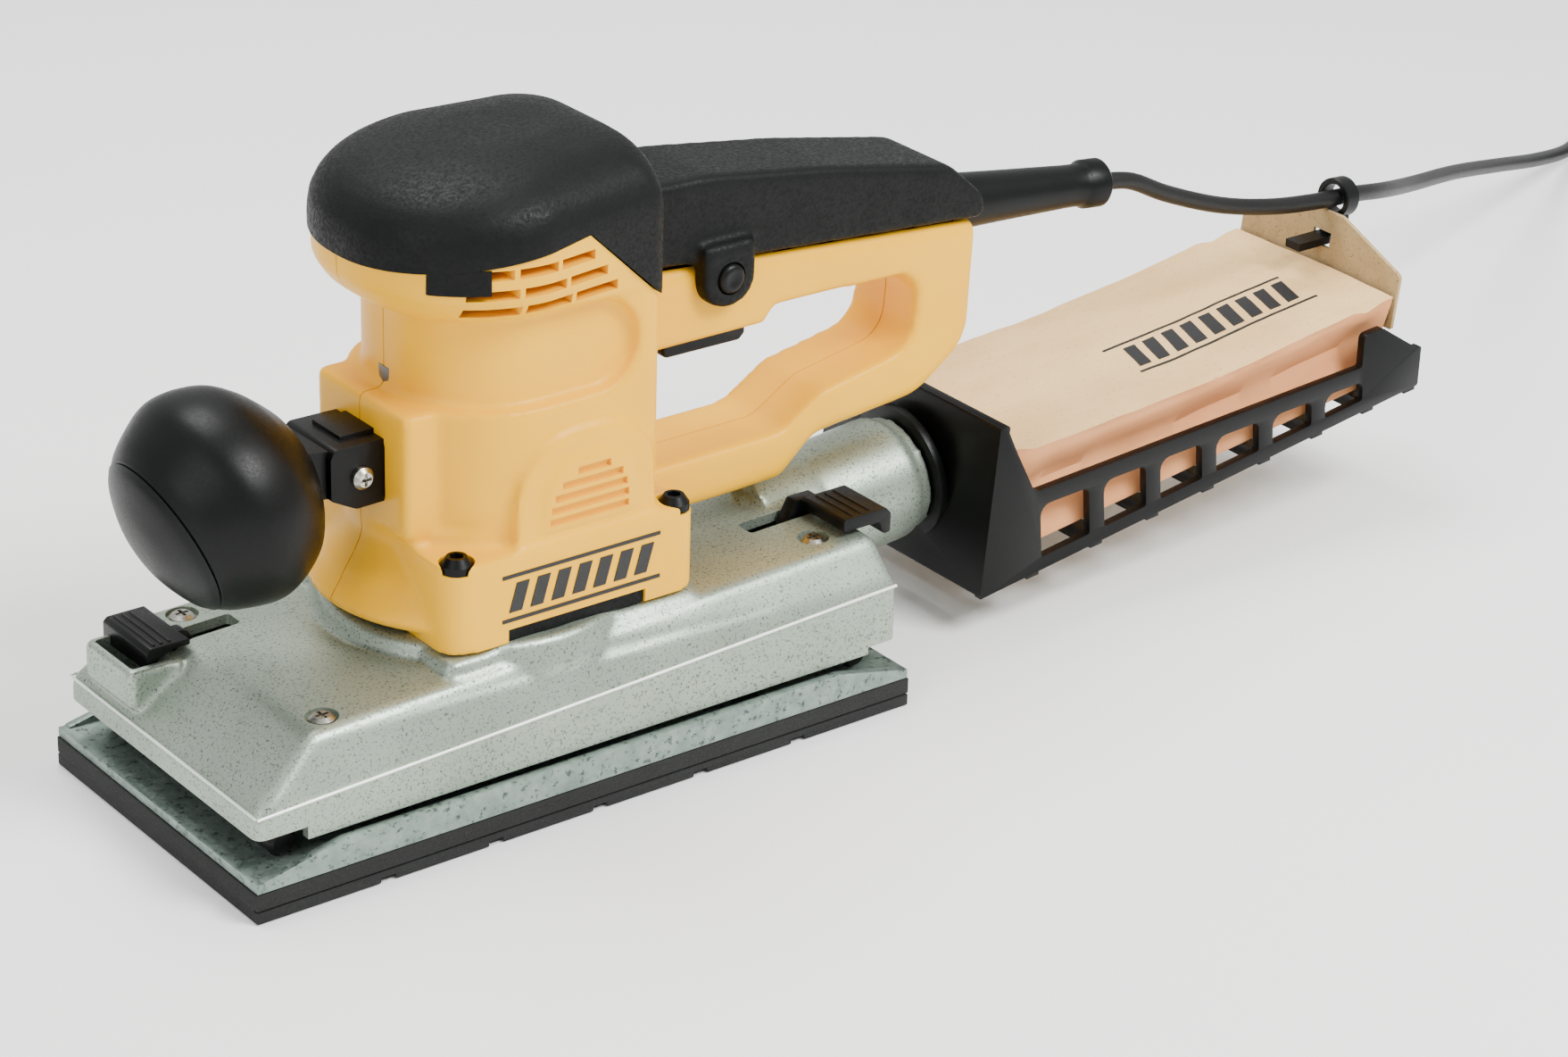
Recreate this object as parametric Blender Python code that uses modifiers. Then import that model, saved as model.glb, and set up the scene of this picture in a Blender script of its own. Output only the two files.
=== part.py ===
"""Corded half-sheet orbital sander with a front knob, D-handle and dust bag.

Frame: +Z up, the knob end is -X, the dust bag end is +X.  The origin is the
centre of the flat underside of the sanding pad.  Tables below are in
millimetres and every builder turns them into metres.
"""
from math import atan2, cos, pi, radians, sin

import bmesh
import bpy
from mathutils import Matrix, Vector

for old in list(bpy.data.objects):
    bpy.data.objects.remove(old, do_unlink=True)

# ---------------------------------------------------------------- dimensions
MM = 0.001
GAP = 0.3                      # clearance kept between neighbouring solids

PAD_LENGTH, PAD_WIDTH, PAD_THICK = 235.0, 115.0, 9.2
NOTCH_PITCH, NOTCH_WIDTH, NOTCH_COUNT = 37.0, 5.0, 5

PLATE_TOP = 12.3               # upper face of the platen's base plate
RAIL_TOP, RAIL_FLAT, RAIL_THICK = 18.3, 90.0, 2.8

MOTOR_X, THROW = -4.0, 1.2     # motor axis and orbit radius

SHROUD_FRONT, SHROUD_REAR, SHROUD_HALF = -114.7, 115.5, 53.6
SHROUD_WALL = 3.0
TOP_FRONT_Z, TOP_REAR_Z = 48.0, 54.5
TOP_FRONT_X, TOP_REAR_X = -92.0, 112.5
OUTLET_Y, OUTLET_RADIUS, OUTLET_BORE = 8.0, 20.5, 17.6

FLANGE_BASE, FLANGE_TOP, FLANGE_HALF = 58.6, 83.0, 42.5
FLANGE_FRONT, FLANGE_REAR = -43.0, 45.0
HOUSING_WALL = 2.6
SPLIT = 0.3                    # joint between the two housing halves

HANDLE_HALF, GRIP_HALF = 16.2, 17.2
TRIGGER_SPAN = (57.0, 88.0)
BUTTON_X, BUTTON_Z = 71.5, 141.0

BAG_PITCH = radians(5.7)       # the bag rises towards the rear
BAG_ORIGIN = (160.0, OUTLET_Y, 43.0)     # where the outlet's axis meets the carrier
FRAME_HALF = 43.0

OUTLET_AIM = (cos(BAG_PITCH), 0.0, sin(BAG_PITCH))

CORD_DIAMETER = 5.8
COIL_RADIUS, COIL_WIDTH, COIL_LAYERS = 32.0, 5, 2
COIL_CENTRE = (730.0, 146.7)
PLUG_START = Vector((791.3, 118.7, 7.6))
PLUG_AIM = Vector((0.30, -0.954, 0.0))

# ---------------------------------------------------------------- scaffolding
PARTS = bpy.data.collections.new("orbital_sander")
CUTTERS = bpy.data.collections.new("cutters")
for group in (PARTS, CUTTERS):
    bpy.context.scene.collection.children.link(group)


def material(name, colour, roughness, metallic=0.0):
    """Make one Principled material."""
    mat = bpy.data.materials.new(name)
    mat.use_nodes = True
    shader = mat.node_tree.nodes["Principled BSDF"]
    shader.inputs["Base Color"].default_value = (*colour, 1.0)
    shader.inputs["Roughness"].default_value = roughness
    shader.inputs["Metallic"].default_value = metallic
    mat.diffuse_color = (*colour, 1.0)
    return mat


FINISHES = {
    "yellow": ((0.86, 0.56, 0.05), 0.45, 0.0),
    "black_plastic": ((0.012, 0.012, 0.012), 0.45, 0.0),
    "black_rubber": ((0.015, 0.017, 0.017), 0.75, 0.0),
    "painted_casting": ((0.40, 0.46, 0.42), 0.42, 0.7),
    "raw_casting": ((0.36, 0.42, 0.40), 0.5, 0.9),
    "steel": ((0.55, 0.55, 0.53), 0.3, 1.0),
    "copper": ((0.72, 0.33, 0.16), 0.35, 1.0),
    "carbon": ((0.03, 0.03, 0.03), 0.7, 0.0),
    "paper": ((0.76, 0.65, 0.45), 0.85, 0.0),
    "cardboard": ((0.45, 0.34, 0.19), 0.9, 0.0),
}


def link(name, mesh, finish, collection=PARTS):
    """Put a mesh in the scene as one named object."""
    obj = bpy.data.objects.new(name, mesh)
    collection.objects.link(obj)
    if finish:
        mesh.materials.append(material(name + "_finish", *FINISHES[finish]))
    if collection is CUTTERS:
        obj.hide_render = True
        obj.display_type = "WIRE"
    return obj


def finish_bmesh(name, bm, finish, collection=PARTS):
    """Scale a millimetre bmesh to metres and make it an object."""
    bmesh.ops.scale(bm, vec=(MM, MM, MM), verts=bm.verts)
    bmesh.ops.recalc_face_normals(bm, faces=bm.faces)
    mesh = bpy.data.meshes.new(name)
    bm.to_mesh(mesh)
    bm.free()
    return link(name, mesh, finish, collection)


def block(name, low, high, finish, bevel=0.0, steps=1, collection=PARTS, turn=None):
    """A box between two corners, with its edges rounded."""
    bm = bmesh.new()
    bmesh.ops.create_cube(bm, size=1.0)
    low, high = Vector(low), Vector(high)
    bmesh.ops.scale(bm, vec=high - low, verts=bm.verts)
    bmesh.ops.translate(bm, vec=(high + low) / 2, verts=bm.verts)
    if bevel:
        bmesh.ops.bevel(bm, geom=bm.edges[:], offset=bevel, segments=steps, profile=0.5,
                        affect="EDGES")
    if turn:
        bmesh.ops.transform(bm, matrix=turn, verts=bm.verts)
    return finish_bmesh(name, bm, finish, collection)


def axis_matrix(origin, direction):
    """Matrix that carries +Z at the world's origin to a direction at a point."""
    turn = Vector(direction).to_track_quat("Z", "Y").to_matrix().to_4x4()
    return Matrix.Translation(Vector(origin)) @ turn


def rod(name, start, end, radius, finish, radius_end=None, sides=20, collection=PARTS):
    """A cylinder or cone between two points."""
    start, end = Vector(start), Vector(end)
    bm = bmesh.new()
    place = axis_matrix((start + end) / 2, end - start)
    bmesh.ops.create_cone(bm, cap_ends=True, segments=sides, radius1=radius,
                          radius2=radius if radius_end is None else radius_end,
                          depth=(end - start).length, matrix=place)
    return finish_bmesh(name, bm, finish, collection)


def turned(name, origin, profile, finish, direction=(0, 0, 1), sides=24, collection=PARTS):
    """Turn a (radius, height) profile, given down its outer side, about an axis."""
    mesh = bpy.data.meshes.new(name)
    closed = all(radius > 1e-6 for radius, _ in profile)
    points = [(radius * MM, 0.0, height * MM) for radius, height in profile]
    edges = [(i, i + 1) for i in range(len(points) - 1)]
    if closed:
        edges.append((len(points) - 1, 0))
    mesh.from_pydata(points, edges, [])
    obj = link(name, mesh, finish, collection)
    obj.matrix_world = axis_matrix(Vector(origin) * MM, direction)
    screw = obj.modifiers.new("turn", "SCREW")
    screw.steps = screw.render_steps = sides
    screw.angle = 2 * pi
    screw.use_merge_vertices = True
    screw.merge_threshold = 1e-6
    return obj


def ring(name, origin, inner, outer, low, high, finish, sides=24):
    """A flat-ended ring about a vertical axis."""
    profile = ((outer, high), (outer, low), (inner, low), (inner, high))
    return turned(name, origin, profile, finish, sides=sides)


def loft(name, rings, finish, collection=PARTS):
    """Skin a stack of equal-count rings and close both ends."""
    bm = bmesh.new()
    rows = [[bm.verts.new(point) for point in points] for points in rings]
    count = len(rows[0])
    for lower, upper in zip(rows, rows[1:]):
        for i in range(count):
            j = (i + 1) % count
            bm.faces.new((lower[i], lower[j], upper[j], upper[i]))
    bm.faces.new(rows[0])
    bm.faces.new(rows[-1])
    bmesh.ops.remove_doubles(bm, verts=bm.verts, dist=0.01)
    bmesh.ops.triangulate(bm, faces=[face for face in bm.faces if len(face.verts) == 4])
    return finish_bmesh(name, bm, finish, collection)


def plan(height, front, rear, half_front, half_rear, r_front, r_rear, steps=5, tilt=0.0):
    """Rounded outline seen from above; the sides may taper to the rear."""
    corners = ((rear - r_rear, half_rear - r_rear, r_rear, 0),
               (front + r_front, half_front - r_front, r_front, 90),
               (front + r_front, r_front - half_front, r_front, 180),
               (rear - r_rear, r_rear - half_rear, r_rear, 270))
    points = []
    for cx, cy, radius, start in corners:
        for i in range(steps + 1):
            angle = radians(start + 90.0 * i / steps)
            x = cx + radius * cos(angle)
            points.append(Vector((x, cy + radius * sin(angle), height + tilt * x)))
    return points


def rounded_outline(corners, steps=4):
    """Closed side-view outline from (x, z, corner radius) points."""
    points = []
    count = len(corners)
    for i, (x, z, radius) in enumerate(corners):
        here = Vector((x, z))
        to_last = (Vector(corners[i - 1][:2]) - here).normalized()
        to_next = (Vector(corners[(i + 1) % count][:2]) - here).normalized()
        if radius <= 0.0:
            points.append(here)
            continue
        half = to_last.angle(to_next) / 2
        reach = radius / max(0.05, abs(sin(half) / cos(half)))
        centre = here + (to_last + to_next).normalized() * (radius / sin(half))
        first, last = here + to_last * reach - centre, here + to_next * reach - centre
        sweep = atan2(first.x * last.y - first.y * last.x, first.dot(last))
        for k in range(steps + 1):
            angle = sweep * k / steps
            turn = Matrix(((cos(angle), -sin(angle)), (sin(angle), cos(angle))))
            points.append(centre + turn @ first)
    return points


def prism(name, outline, low, high, finish, rim=0.0, rim_steps=2, collection=PARTS):
    """Extrude a side-view (x, z) outline from y = low to y = high."""
    bm = bmesh.new()
    verts = [bm.verts.new((x, low, z)) for x, z in outline]
    face = bm.faces.new(verts)
    grown = bmesh.ops.extrude_face_region(bm, geom=[face])
    moved = [g for g in grown["geom"] if isinstance(g, bmesh.types.BMVert)]
    bmesh.ops.translate(bm, vec=(0, high - low, 0), verts=moved)
    if rim:
        edges = [e for e in bm.edges if abs(e.verts[0].co.y - e.verts[1].co.y) < 1e-6]
        bmesh.ops.bevel(bm, geom=edges, offset=rim, segments=rim_steps, profile=0.5,
                        affect="EDGES", clamp_overlap=True)
    return finish_bmesh(name, bm, finish, collection)


def boolean(target, tool, operation):
    """Add one exact Boolean modifier."""
    mod = target.modifiers.new(tool.name, "BOOLEAN")
    mod.operation = operation
    mod.object = tool
    return target


def cut(target, *tools):
    """Subtract tools from a solid."""
    for tool in tools:
        boolean(target, tool, "DIFFERENCE")
    return target


def fuse(target, *tools):
    """Join tools to a solid."""
    for tool in tools:
        boolean(target, tool, "UNION")
    return target


def tube(name, points, radius, finish, collection=PARTS, bevel_resolution=2):
    """A round tube along points, as a poly curve with caps."""
    curve = bpy.data.curves.new(name, "CURVE")
    curve.dimensions = "3D"
    curve.bevel_depth = radius * MM
    curve.bevel_resolution = bevel_resolution
    curve.use_fill_caps = True
    spline = curve.splines.new("POLY")
    spline.points.add(len(points) - 1)
    for target, point in zip(spline.points, points):
        target.co = (*(Vector(point) * MM), 1.0)
    curve.materials.append(material(name + "_finish", *FINISHES[finish]))
    obj = bpy.data.objects.new(name, curve)
    collection.objects.link(obj)
    return obj


def to_mesh(obj, name, finish):
    """Evaluated copy of an object as a plain mesh object; the original stays a guide."""
    bpy.context.view_layer.update()
    graph = bpy.context.evaluated_depsgraph_get()
    mesh = bpy.data.meshes.new_from_object(obj.evaluated_get(graph))
    mesh.transform(obj.matrix_world)
    mesh.materials.clear()
    bm = bmesh.new()
    bm.from_mesh(mesh)
    bmesh.ops.remove_doubles(bm, verts=bm.verts, dist=0.00001)
    bmesh.ops.dissolve_degenerate(bm, edges=bm.edges, dist=0.00001)
    bmesh.ops.triangulate(bm, faces=bm.faces)
    bm.to_mesh(mesh)
    bm.free()
    return link(name, mesh, finish)


# ---------------------------------------------------------------- base of the tool
def make_pad():
    """Black sanding pad with five clamp notches along each long edge."""
    pad = block("sanding_pad", (-PAD_LENGTH / 2, -PAD_WIDTH / 2, 0),
                (PAD_LENGTH / 2, PAD_WIDTH / 2, PAD_THICK), "black_rubber")
    for side in (-1, 1):
        for i in range(NOTCH_COUNT):
            x = (i - (NOTCH_COUNT - 1) / 2) * NOTCH_PITCH
            edge = side * PAD_WIDTH / 2
            notch = block(f"pad_notch_{side}_{i}", (x - NOTCH_WIDTH / 2, edge - 1.5, -2),
                          (x + NOTCH_WIDTH / 2, edge + 1.5, 1.6), None, collection=CUTTERS)
            cut(pad, notch)


def make_platen():
    """Cast platen: plate, raised side rails, bearing boss and clamp lugs."""
    base = PAD_THICK + GAP
    half_l, half_w = PAD_LENGTH / 2 - 0.5, PAD_WIDTH / 2 - 0.3
    platen = block("platen", (-half_l, -half_w, base), (half_l, half_w, PLATE_TOP), "raw_casting")
    rail = ((-half_l + 2, base + 0.5), (half_l - 2, base + 0.5), (half_l - 2, PLATE_TOP),
            (RAIL_FLAT, RAIL_TOP), (2 - RAIL_FLAT, RAIL_TOP), (-half_l + 2, PLATE_TOP))
    for side in (-1, 1):
        outer, inner = side * half_w, side * (half_w - RAIL_THICK)
        bar = prism(f"platen_rail_{side}", rail, min(outer, inner), max(outer, inner), None,
                    collection=CUTTERS)
        fuse(platen, bar)
    centre = (MOTOR_X + THROW, 0)
    fuse(platen, rod("platen_boss", (*centre, base + 0.5), (*centre, 36), 21, None, sides=28,
                     collection=CUTTERS))
    for name, (x, y, _, _, _) in CLAMPS.items():
        for k in (-1, 1):
            y0 = y + k * (STEM_HALF + GAP + 1.6)
            lug = block(f"lug_{name}_{k}", (x - 5, y0 - 1.5, base + 0.5), (x + 5, y0 + 1.5, 30),
                        None, collection=CUTTERS)
            fuse(platen, lug)
    cut(platen, rod("platen_bore", (*centre, 22.7), (*centre, 40), 16.3, None, sides=28,
                    collection=CUTTERS))


CLAMPS = {
    # name: pivot x, stem centre y, stem outline, tab outline, tab's y range
    "front": (-80.0, 27.5,
              ((-83.5, 22.5), (-77.5, 22.0), (-76.5, 27.0), (-90.5, 50.8), (-98.0, 50.8), (-97, 48)),
              ((-92.6, 48.9), (-92.6, 50.8), (-105.5, 50.8), (-106.8, 49.5), (-106.8, 43.0),
               (-104.5, 43.0), (-103.0, 47.0), (-98.0, 48.9)), (19.5, 45.5)),
    "rear": (88.0, -16.3,
             ((85.5, 22.0), (91.5, 22.5), (109.5, 57.0), (109.5, 59.2), (101.0, 59.2), (84.5, 27.0)),
             ((103.0, 56.4), (117.2, 56.4), (118.8, 52.0), (121.5, 52.0), (121.5, 58.5),
              (119.5, 60.6), (103.0, 60.6)), (-40.5, -20.0)),
}
CLAMP_PIVOT_Z, STEM_HALF = 25.0, 2.2
BAR_X = 103.0                   # axis of each paper bar
PULL_END = 97.8                 # x where a lever's arm meets its paper bar


def make_clamps():
    """Paper clamp levers and bars, one pair at each end of the platen."""
    for name, (px, y, stem, tab, (low, high)) in CLAMPS.items():
        lever = prism(f"{name}_clamp_lever", stem, y - STEM_HALF, y + STEM_HALF, "black_plastic")
        thumb = prism(f"{name}_tab", tab, low, high, None, rim=0.8, rim_steps=1,
                      collection=CUTTERS)
        fuse(lever, thumb)
        inner, outer = sorted((px, PULL_END if px > 0 else -PULL_END))
        pull = block(f"{name}_pull", (inner, y - STEM_HALF, 19.0), (outer, y + STEM_HALF, 24.0), None,
                     collection=CUTTERS)
        fuse(lever, pull)
        if high < y:
            bridge = block(f"{name}_bridge", (103.5, high - 1, 56.8), (109.0, y - 1.2, 59.0), None,
                           collection=CUTTERS)
            fuse(lever, bridge)
        end = -1 if px < 0 else 1
        turned(f"{name}_clamp_bar", (end * BAR_X, 0, 17.6), ((0, 48.5), (3.4, 48.5), (4.6, 47),
               (4.6, -47), (3.4, -48.5), (0, -48.5)), "black_rubber", direction=(0, 1, 0), sides=14)
        pin = rod(f"{name}_clamp_pin", (px, y - 4.5, CLAMP_PIVOT_Z), (px, y + 4.5, CLAMP_PIVOT_Z),
                  1.5, None, sides=10, collection=CUTTERS)
        fuse(bpy.data.objects["platen"], pin)
        hole = rod(f"{name}_pin_hole", (px, y - 8, CLAMP_PIVOT_Z), (px, y + 8, CLAMP_PIVOT_Z), 1.9,
                   None, sides=10, collection=CUTTERS)
        cut(lever, hole)


def shroud_ring(offset, drop):
    """The three outline rings of the shroud, moved inwards by an offset."""
    def rect(front, rear, half_f, half_r, z_f, z_r):
        return [Vector((rear - offset, half_r - offset, z_r)),
                Vector((front + offset, half_f - offset, z_f)),
                Vector((front + offset, offset - half_f, z_f)),
                Vector((rear - offset, offset - half_r, z_r))]
    lip = rect(SHROUD_FRONT, SHROUD_REAR, SHROUD_HALF, SHROUD_HALF, 19.6, 19.6)
    fold = rect(SHROUD_FRONT, SHROUD_REAR, SHROUD_HALF, SHROUD_HALF - 0.8, 31.0, 40.5)
    top = rect(TOP_FRONT_X, TOP_REAR_X, 46.5, 43.5, TOP_FRONT_Z - drop, TOP_REAR_Z - drop)
    if drop:
        for corner in lip:
            corner.z -= 10.0
    return [lip, fold, top]


def make_shroud():
    """Painted cast shroud with its plinth, lever windows and dust outlet."""
    shroud = loft("shroud", shroud_ring(0.0, 0.0), "painted_casting")
    bevel = shroud.modifiers.new("corners", "BEVEL")
    bevel.width = 2.2 * MM
    bevel.segments = 2
    bevel.limit_method = "ANGLE"
    bevel.angle_limit = radians(18)
    plinth = turned("plinth", (MOTOR_X - 2, 0, 0), ((0, 56.6), (46, 56.6), (49.5, 46), (0, 46)),
                    None, sides=32, collection=CUTTERS)
    outlet = turned("outlet_body", BAG_ORIGIN, ((OUTLET_BORE, 3.5), (OUTLET_RADIUS - 1.5, 3.5),
                    (OUTLET_RADIUS, 0), (OUTLET_RADIUS, -62), (OUTLET_BORE, -62))[::-1], None,
                    direction=OUTLET_AIM, sides=28, collection=CUTTERS)
    deck = block("plinth_deck", (-43, -42, 46.3), (45.5, 42, 56.2), None, bevel=3.0,
                 collection=CUTTERS)
    fuse(shroud, plinth, deck, outlet)
    hollow = loft("shroud_hollow", shroud_ring(SHROUD_WALL, SHROUD_WALL + 0.2), None, CUTTERS)
    bore = turned("outlet_bore", BAG_ORIGIN, ((0, -25), (OUTLET_BORE - 0.4, -25),
                  (OUTLET_BORE - 0.4, -80), (0, -80)), None, direction=OUTLET_AIM, sides=28,
                  collection=CUTTERS)
    mouth = rod("motor_mouth", (MOTOR_X, 0, 40), (MOTOR_X, 0, 60), 36.0, None, sides=32,
                collection=CUTTERS)
    cut(shroud, hollow, bore, mouth)
    front_step = block("lip_step", (-125, -60, 10), (-98, 60, 23.6), None, collection=CUTTERS)
    rear_step = block("rear_lip_step", (104, -60, 10), (125, 60, 22.0), None, collection=CUTTERS)
    cut(shroud, front_step, rear_step)
    for name, x_range, y_range, z_low in WINDOWS:
        window = block(name, (x_range[0], y_range[0], z_low), (x_range[1], y_range[1], 70), None,
                       collection=CUTTERS)
        cut(shroud, window)
    for name, x, y, z in SCREWS:
        recess = rod(f"recess_{name}", (x, y, z - 1.6), (x, y, z + 8), 5.0, None, sides=16,
                     collection=CUTTERS)
        cut(shroud, recess)


WINDOWS = (("front_slot", (-99.5, -72.8), (23.8, 31.2), 38.0),
           ("front_window", (-112.5, -99.0), (19.0, 41.5), 33.4),
           ("rear_slot", (82.8, 111.0), (-20.0, -12.6), 42.0))
SCREWS = [(f"{end}_{side}", x, y * s, z) for end, x, y, z in
          (("front", -84.0, 39.0, 48.3), ("rear", 96.5, 33.6, 53.8))
          for side, s in (("left", -1), ("right", 1))]


def make_shroud_screws():
    """Pan-head screws, each in its round recess."""
    for name, x, y, z in SCREWS:
        turned(f"shroud_screw_{name}", (x, y, z - 1.3), ((0, 1.9), (2.4, 1.6), (3.9, 0.2), (3.9, 0),
               (0, 0)), "steel", sides=14)


def make_isolators():
    """Four rubber columns that carry the shroud above the platen."""
    for name, x, y in (("front_left", -62, -38), ("front_right", -62, 38),
                       ("rear_left", 66, -38), ("rear_right", 66, 38)):
        turned(f"isolator_{name}", (x, y, 0), ((0, 43.6), (6.4, 43.6), (5.6, 40), (5.6, 16),
               (7, PLATE_TOP + GAP), (0, PLATE_TOP + GAP)), "black_rubber", sides=14)


# ---------------------------------------------------------------- housing
def column_rings(inset, low, high):
    """Outline rings of the motor column and head, moved inwards by an inset."""
    table = ((low, -41.0, 34.5, 38.2, 38.2, 35.0, 4.5),
             (80.0, -41.0, 34.5, 38.2, 38.2, 35.0, 4.5),
             (132.0, -42.0, 34.5, 38.4, 38.2, 35.0, 4.5),
             (140.0, -39.5, 34.5, 35.8, 38.2, 33.0, 4.5),
             (148.0, -38.0, 34.5, 35.2, 38.2, 32.0, 4.5),
             (153.0, -43.0, 34.6, 38.6, 38.2, 36.0, 4.5),
             (157.0, -49.0, 34.8, 42.6, 38.4, 40.0, 4.5),
             (162.0, -52.4, 35.0, 44.4, 38.6, 42.5, 4.5),
             (high, -52.8, 35.2, 44.8, 38.8, 43.0, 4.5))
    return [plan(z, front + inset, rear - inset, hf - inset, hr - inset, rf - inset,
                 max(1.0, rr - inset)) for z, front, rear, hf, hr, rf, rr in table]


YELLOW_HANDLE = ((20, 64, 0), (98, 66, 6), (111, 77.5, 10), (152, 81.5, 20), (172, 96, 16),
                 (173.5, 136.9, 0), (84, 143.4, 0), (20, 147.7, 0))
HANDLE_OPENING = ((30, 120.5, 0), (89, 120.5, 1.5), (92.5, 125.5, 1.5), (150, 124.5, 9),
                  (148, 99, 11), (113, 92.5, 10), (97, 82.5, 10), (30, 82, 0))
GRIP_OUTLINE = ((35.6, 151, 0), (35.6, 173.6, 0), (66, 173, 40), (112, 166.5, 60), (160, 157.5, 14),
                (175.5, 144, 8), (174.5, 137.2, 0), (84, 143.8, 0), (37, 148, 0))


def make_housing():
    """Yellow clamshell: the shape is made once and split at the mid-plane."""
    shell = loft("housing_form", column_rings(0.0, FLANGE_BASE, 178.0), None, CUTTERS)
    flange = loft("flange_block", [plan(z, FLANGE_FRONT, FLANGE_REAR, FLANGE_HALF, FLANGE_HALF, 9, 5,
                                        steps=3) for z in (FLANGE_BASE, FLANGE_TOP)], None, CUTTERS)
    skirt = turned("front_skirt", (-8.7, 0, 0), ((0, 88), (34.5, 88), (39, 77), (45, 66),
                   (45, FLANGE_BASE), (0, FLANGE_BASE)), None, sides=32, collection=CUTTERS)
    handle = prism("d_handle", rounded_outline(YELLOW_HANDLE), -HANDLE_HALF, HANDLE_HALF, None,
                   rim=4.0, rim_steps=2, collection=CUTTERS)
    opening = prism("finger_opening", rounded_outline(HANDLE_OPENING), -30, 30, None,
                    collection=CUTTERS)
    cut(handle, opening)
    fuse(shell, flange, skirt, handle)
    core = loft("housing_core", column_rings(HOUSING_WALL, 50.0, 190.0), None, CUTTERS)
    pocket = prism("handle_pocket", [(20, 124.5), (96, 124.5), (99, 129), (168, 128), (168, 160),
                                     (20, 170)], 2.8 - HANDLE_HALF, HANDLE_HALF - 2.8, None,
                   collection=CUTTERS)
    lid = prism("cap_cut", [(-80, 165.5), (5, 175.7), (33.2, 149.8), (36.0, 148.3), (36, 200),
                            (-80, 200)], -60, 60, None, collection=CUTTERS)
    grip_cut = prism("grip_cut", [(33, 148.1), (84, 143.5), (178, 136.7), (178, 200), (33, 200)],
                     -40, 40, None, collection=CUTTERS)
    flange_hollow = rod("flange_hollow", (MOTOR_X, 0, 50), (MOTOR_X, 0, 80), 37.0, None, sides=32,
                        collection=CUTTERS)
    trigger_slot = block("trigger_slot", (TRIGGER_SPAN[0] - 1.5, -8.0, 108),
                         (TRIGGER_SPAN[1] + 1.5, 8.0, 130), None, collection=CUTTERS)
    relief_hole = rod("relief_hole", (155, 0, 139.1), (195, 0, 135.5), 9.6, None, sides=20,
                      collection=CUTTERS)
    button_hole = rod("button_hole", (BUTTON_X, -30, BUTTON_Z), (BUTTON_X, -8, BUTTON_Z), 5.2, None,
                      sides=16, collection=CUTTERS)
    arm_hole = block("arm_socket", (-60, -13.2, 95.2), (-30, 13.2, 113.9), None, bevel=1.5,
                     collection=CUTTERS)
    cut(shell, core, pocket, lid, grip_cut, flange_hollow, trigger_slot, relief_hole, button_hole,
        arm_hole)
    for row, (z, last) in enumerate(((169.6, 7.0), (163.6, 12.0), (157.8, 16.5))):
        width = (last + 33.5 - 3.0) / 3
        for k in range(3):
            x = -33.5 + k * (width + 1.5)
            slot = block(f"vent_{row}_{k}", (x, -60, z - 1.5), (x + width, 60, z + 1.5), None,
                         collection=CUTTERS)
            cut(shell, slot)
    for name, x, y in PLUGS:
        seat = rod(f"plug_seat_{name}", (x, y, FLANGE_TOP - 3), (x, y, FLANGE_TOP + 5), 4.9, None,
                   sides=16, collection=CUTTERS)
        cut(shell, seat)
    for side, name in ((-1, "left_housing"), (1, "right_housing")):
        half = to_mesh(shell, name, "yellow")
        keep = block(f"{name}_side", (-90, -SPLIT / 2 if side < 0 else -120, 30),
                     (220, 120 if side < 0 else SPLIT / 2, 230), None, collection=CUTTERS)
        cut(half, keep)


PLUGS = [(f"{end}_{side}", x, y * s) for end, x, y in (("front", -36.8, 36.8), ("rear", 39.8, 37.4))
         for side, s in (("left", -1), ("right", 1))]


def make_plugs():
    """Domed black bolt plugs at the corners of the flange."""
    for name, x, y in PLUGS:
        turned(f"flange_plug_{name}", (x, y, FLANGE_TOP - 2.7), ((0, 4.4), (2.8, 3.9), (4.5, 2.4),
               (4.5, 0), (0, 0)), "black_rubber", sides=14)


def make_seal_ring():
    """Black seal between the yellow housing and the shroud's plinth."""
    ring("base_seal", (MOTOR_X - 3.5, 0, 0), 37.5, 44.0, 56.9, FLANGE_BASE - GAP, "black_rubber", 32)


def make_cap():
    """Black head cover: a dome whose edge drops down the rear corners."""
    table = ((149.0, -53.4, 35.4, 45.2, 39.2, 43.0, 5.0), (176.0, -53.4, 35.4, 45.2, 39.2, 43.0, 5.0),
             (184.5, -50.5, 35.2, 43.2, 37.4, 41.0, 8.0), (190.0, -44.0, 34.5, 38.0, 33.0, 36.0, 12.0),
             (194.0, -33.0, 31.0, 29.0, 26.0, 28.0, 16.0), (196.4, -17.0, 21.0, 15.5, 14.0, 14.5, 12.0))
    cap = loft("head_cover", [plan(z, *row, tilt=0.03 if z > 150 else 0.0) for z, *row in table],
               "black_rubber")
    inner = ((140.0, -50.6, 32.8, 42.4, 36.4, 40.0, 3.0), (176.0, -50.6, 32.8, 42.4, 36.4, 40.0, 3.0),
             (183.5, -47.5, 32.6, 40.0, 34.6, 38.0, 6.0), (188.4, -40.5, 31.5, 34.5, 30.0, 32.5, 10.0),
             (191.6, -28.0, 27.0, 24.5, 22.0, 23.5, 14.0))
    hollow = loft("cap_hollow", [plan(z, *row, tilt=0.03 if z > 150 else 0.0) for z, *row in inner],
                  None, CUTTERS)
    below = prism("cap_edge_cut", [(-80, 130), (-80, 165.8), (5, 176.1), (33.6, 150.2), (36.4, 148.7),
                                   (60, 148.7), (60, 130)], -60, 60, None, collection=CUTTERS)
    throat = block("cap_throat", (28, -13.5, 145), (40, 13.5, 168), None, collection=CUTTERS)
    cut(cap, hollow, below, throat)


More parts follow.
